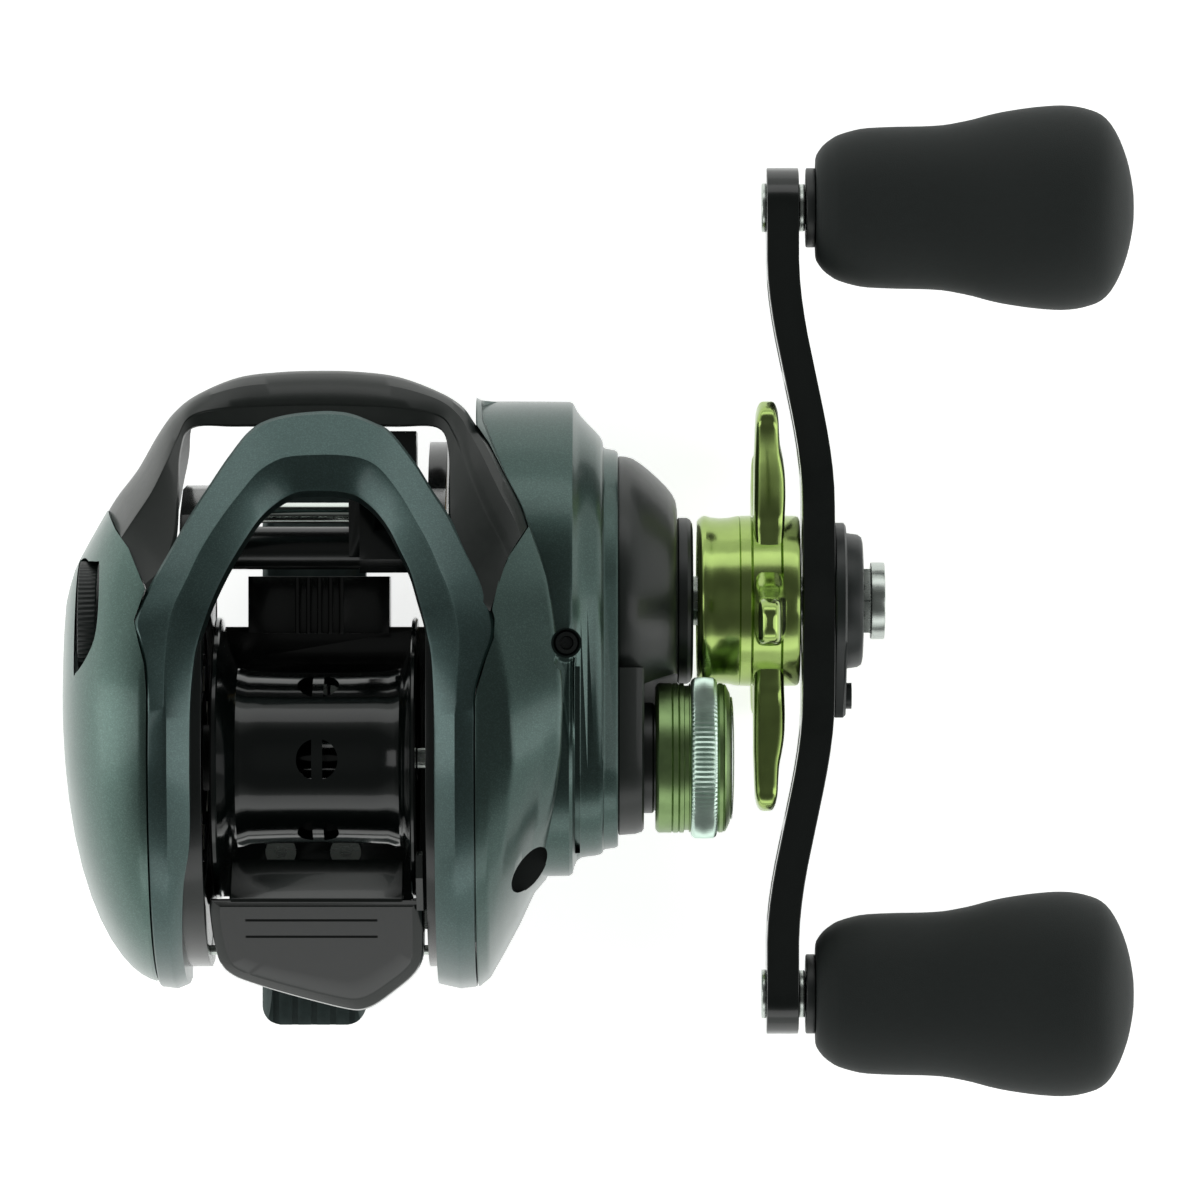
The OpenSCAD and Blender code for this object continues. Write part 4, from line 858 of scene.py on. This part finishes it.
def spool():
    """The spool: a bare drum, slightly hollow, between dished flanges, with six holes to its web."""
    outside = [(-12.5, 12.5), (-12.5, 16.8), (-12.3, 17), (-11.9, 17), (-11.7, 16.8), (-11.3, 14.6),
               (-10.8, 12.8), (-10.45, 12.1), (-10.2, 11.7), (-10.05, 11.2), (-9.8, 10.9), (-9.2, 10.8),
               (-8.4, 10.5), (-6.4, 10.38), (-3.6, 10.3), (0, 10.28), (3.6, 10.3), (6.4, 10.38),
               (8.4, 10.5), (9.2, 10.8), (9.8, 10.9), (10.05, 11.2), (10.2, 11.7), (10.4, 12.1),
               (10.7, 12.8), (11.0, 14.6), (11.25, 16.8), (11.4, 17), (11.7, 17), (11.9, 16.8),
               (11.9, 12.5)]
    inside = [(9.9, 9.3), (0.65, 9.3), (0.65, 2.8), (11.9, 2.8), (11.9, 1.26), (-12, 1.26), (-12, 2.8),
              (-0.65, 2.8), (-0.65, 9.3), (-11.2, 9.3)]
    obj = turned("spool_body", outside + inside, SPOOL_AXIS, SPOOL, 144)
    for i in range(6):
        a = math.radians(90 + 60 * i)
        for s in (-1, 1):
            arc = [math.sqrt(HOLE_R ** 2 - HALF_WEB ** 2) * k / 12 for k in range(-12, 13)]
            plan = [(0.66 * s, t) for t in (arc[0], arc[-1])]
            plan += [(s * max(0.66, math.sqrt(max(0, HOLE_R ** 2 - t ** 2))), t) for t in arc[-2:0:-1]]
            verts = []
            for depth in (8.6, 13):
                verts += [(x, depth * math.cos(a) - w * math.sin(a),
                           SPOOL_Z + depth * math.sin(a) + w * math.cos(a))
                          for x, w in plan]
            n = len(plan)
            faces = [tuple(range(n)), tuple(range(n, 2 * n))]
            faces += [(k, (k + 1) % n, n + (k + 1) % n, n + k) for k in range(n)]
            cut(obj, recalc(make("hole", verts, faces, SPOOL)))
    smooth(obj, 25)
    return show(obj, "spool")


def retainer():
    """The nut retainer: a flanged cup over the handle nut with a tapered tail to its screw."""
    flange = [(62.44, NEAR_AXIS), (62.44, 9.3), (62.6, 9.55), (63.6, 9.55), (63.85, 9.2), (63.9, 8.3),
              (65.3, 8.1), (65.75, 7.8), (65.9, 7.3), (65.9, NEAR_AXIS)]
    obj = turned("retainer_body", flange, DRIVE_AXIS, RETAINER, 96)
    tail = []
    for x, k in [(62.44, 0.2), (62.6, 0), (63.5, 0), (63.85, 0.35)]:
        tail.append([(x, DRIVE_Y + y, DRIVE_Z + z) for y, z in
                     [(-14.25 + k, -1.5), (-13.1 + k, -3 + k), (-5, -8), (-5, 8), (-13.1 + k, 3 - k),
                      (-14.25 + k, 1.5)]])
    combine(obj, loft("tail", tail, RETAINER), "UNION")
    hexagon = [(DRIVE_Y + 4.6 * math.cos(math.radians(60 * i)),
                DRIVE_Z + 4.6 * math.sin(math.radians(60 * i)))
               for i in range(6)]
    cut(obj, prism("nut_room", hexagon, "x", 60, 70),
        rod("screw_room", (DRIVE_Y - 11.6, DRIVE_Z), 0.93, 60, 70, DARK, 32))
    smooth(obj, 30)
    return show(obj, "nut_retainer")


# The thumb bar's outline in plan, and the slope of its top along y
THUMB_PLAN = [(-12.75, -16.7), (-12.8, -18), (-12.45, -21.2), (-11.7, -24.4), (-10.2, -26), (-7.5, -27.1),
              (-3.8, -28.25), (0, -29.3), (3, -30.05), (5, -30.3), (6.9, -29.65), (9.3, -27.9),
              (11.4, -26.1), (12.5, -24.3), (12.75, -21.5), (12.75, -16.7)]
THUMB_SLOPE = [(-30.5, 35.2), (-16.7, 41.6)]


def thumb_ring(inset, drop):
    """The thumb bar's outline moved inwards, lying drop below its sloping top."""
    ring = []
    for x, y in spline(THUMB_PLAN, 4):
        new_y = -21.5 + (y + 21.5) * (1 - inset / 7)
        ring.append((x * (1 - inset / 12.5), new_y, table(new_y, THUMB_SLOPE) - drop))
    return ring


def thumb_bar():
    """The thumb bar: a bevelled slab over the back of the spool, with grooves, a tongue and a side tab."""
    rings = [[(x, y, 27) for x, y, z in thumb_ring(0, 0)]]
    rings += [thumb_ring(*row) for row in ((0, 1.3), (0.15, 0.7), (1.0, 0.12), (1.25, 0), (3, 0), (5, 0),
                                           (6.6, 0))]
    side = [(-16.5, 48), (-16.5, 38.8), (-17.7, 34.5), (-17.9, 31), (-24, 29.5), (-30, 30.5), (-32, 31),
            (-32, 48)]
    obj = keep_inside(loft("thumb_bar_body", rings, ARM), prism("side", side, "x", -14, 14, ARM))
    tongue = [(-17.4, 41.0), (-16.6, 40.9), (-12.4, 37.6), (-12.0, 37.0), (-12.3, 36.3), (-17.6, 35.6)]
    tab = [(-18, 36), (-11.5, 43), (-10.8, 44.5), (-11.2, 46), (-14, 45), (-18, 41)]
    combine(obj, bevel(prism("tongue", tongue, "x", -10.4, 10.4, ARM), 0.2), "UNION")
    combine(obj, prism("tab", tab, "x", 12.0, 12.8, ARM), "UNION")
    for y in (-19.2, -21.2):
        z = table(y, THUMB_SLOPE)
        cut(obj, loft("groove", [[(x, y - 0.2, z + 0.6), (x, y + 0.2, z + 0.6), (x, y + 0.12, z - 0.3),
                                  (x, y - 0.12, z - 0.3)] for x in (-8.5, 7.3)], ARM))
    smooth(obj, 20)
    return show(obj, "thumb_bar")


arch()
palm_plate()
hood()
gear_plate()
gear_cover()
seal_ring()
knob(1, "front_knob")
knob(-1, "rear_knob")
star()
cast_control()
spool()
retainer()
thumb_bar()
refine("handle_arm", 0.7, 3, angle=30)
refine("frame", 0.25, 2)
refine("reel_foot", 0.3, 2)
refine("line_guide", 0.3, 2)
refine("handle_nut", 0.25, 2)
refine("worm_guard_tube", 0.1, 1)
refine("front_knob_collar", 0.15, 2)
refine("rear_knob_collar", 0.15, 2)
refine("knob_shafts", 0.15, 2)
refine("brake_dial", 0.1, 1, angle=60)
refine("brake_case", 0.2, 2)
refine("side_plate_screw", 0.15, 2)


for node, slot_name in NODE_SLOT.items():
    obj = frame["nodes"][node]
    if obj.data is None:
        continue
    obj.data.materials.clear()
    obj.data.materials.append(LOOKS[slot_name])


# ---------------------------------------------------------------- camera, light and floor

CENTRE = (33.9, 19.1)
VIEW_MM = 145.45
FOCUS_Z = 28.0
DISTANCE = 900.0


def camera():
    """The camera, looking straight down on the reel."""
    data = bpy.data.cameras.new("camera")
    data.sensor_width = 36.0
    data.lens = 36.0 * DISTANCE / VIEW_MM
    data.clip_start = 0.05
    data.clip_end = 10.0
    obj = bpy.data.objects.new("camera", data)
    obj.location = place((CENTRE[0], CENTRE[1], FOCUS_Z + DISTANCE))
    bpy.context.scene.collection.objects.link(obj)
    bpy.context.scene.camera = obj


def area_light(name, at, target, size, power):
    """A soft box at a point, turned towards target."""
    data = bpy.data.lights.new(name, "AREA")
    data.shape = "RECTANGLE"
    data.size, data.size_y = size[0] * MM, size[1] * MM
    data.energy = power
    obj = bpy.data.objects.new(name, data)
    obj.location = place(at)
    aim = Vector(place(target)) - Vector(place(at))
    obj.rotation_euler = aim.to_track_quat("-Z", "Y").to_euler()
    bpy.context.scene.collection.objects.link(obj)


def studio():
    """A plain white floor, a sky that is bright at the horizon and dim overhead, and four soft boxes."""
    floor_z = cad_box[0][2] / MM - 0.3
    half = 3000.0
    floor_mat = surface("floor_look", srgb(250, 252, 249), rough=(0.85, 0.9), vary=0.005, specular=0.1)
    glow = floor_mat.node_tree.nodes["Principled BSDF"]
    glow.inputs["Emission Color"].default_value = (1.0, 1.0, 1.0, 1.0)
    glow.inputs["Emission Strength"].default_value = 0.7
    floor = make("floor", [(-half, -half, floor_z), (half, -half, floor_z), (half, half, floor_z),
                           (-half, half, floor_z)], [(0, 1, 2, 3)], floor_mat)
    world = bpy.data.worlds.new("world")
    world.use_nodes = True
    nodes, links = world.node_tree.nodes, world.node_tree.links
    coords = nodes.new("ShaderNodeTexCoord")
    split = nodes.new("ShaderNodeSeparateXYZ")
    links.new(coords.outputs["Generated"], split.inputs["Vector"])
    heights = [(0.0, 1.0), (0.34, 0.9), (0.58, 0.45), (0.78, 0.12), (0.92, 0.11), (1.0, 0.15)]
    sky = ramp(nodes, links, split.outputs["Z"], [(z, (g * 0.96, g, g * 0.97, 1)) for z, g in heights])
    links.new(sky.outputs["Color"], nodes["Background"].inputs["Color"])
    nodes["Background"].inputs["Strength"].default_value = 1.0
    bpy.context.scene.world = world
    middle = (CENTRE[0], CENTRE[1], 25)
    area_light("front", (40, 480, 300), middle, (700, 200), 0.45)
    area_light("left", (-440, 0, 300), middle, (200, 700), 0.6)
    area_light("right", (520, -60, 300), middle, (200, 700), 0.6)
    area_light("rear", (40, -480, 300), middle, (700, 200), 0.45)


camera()
studio()
bpy.context.scene.view_settings.view_transform = "Standard"
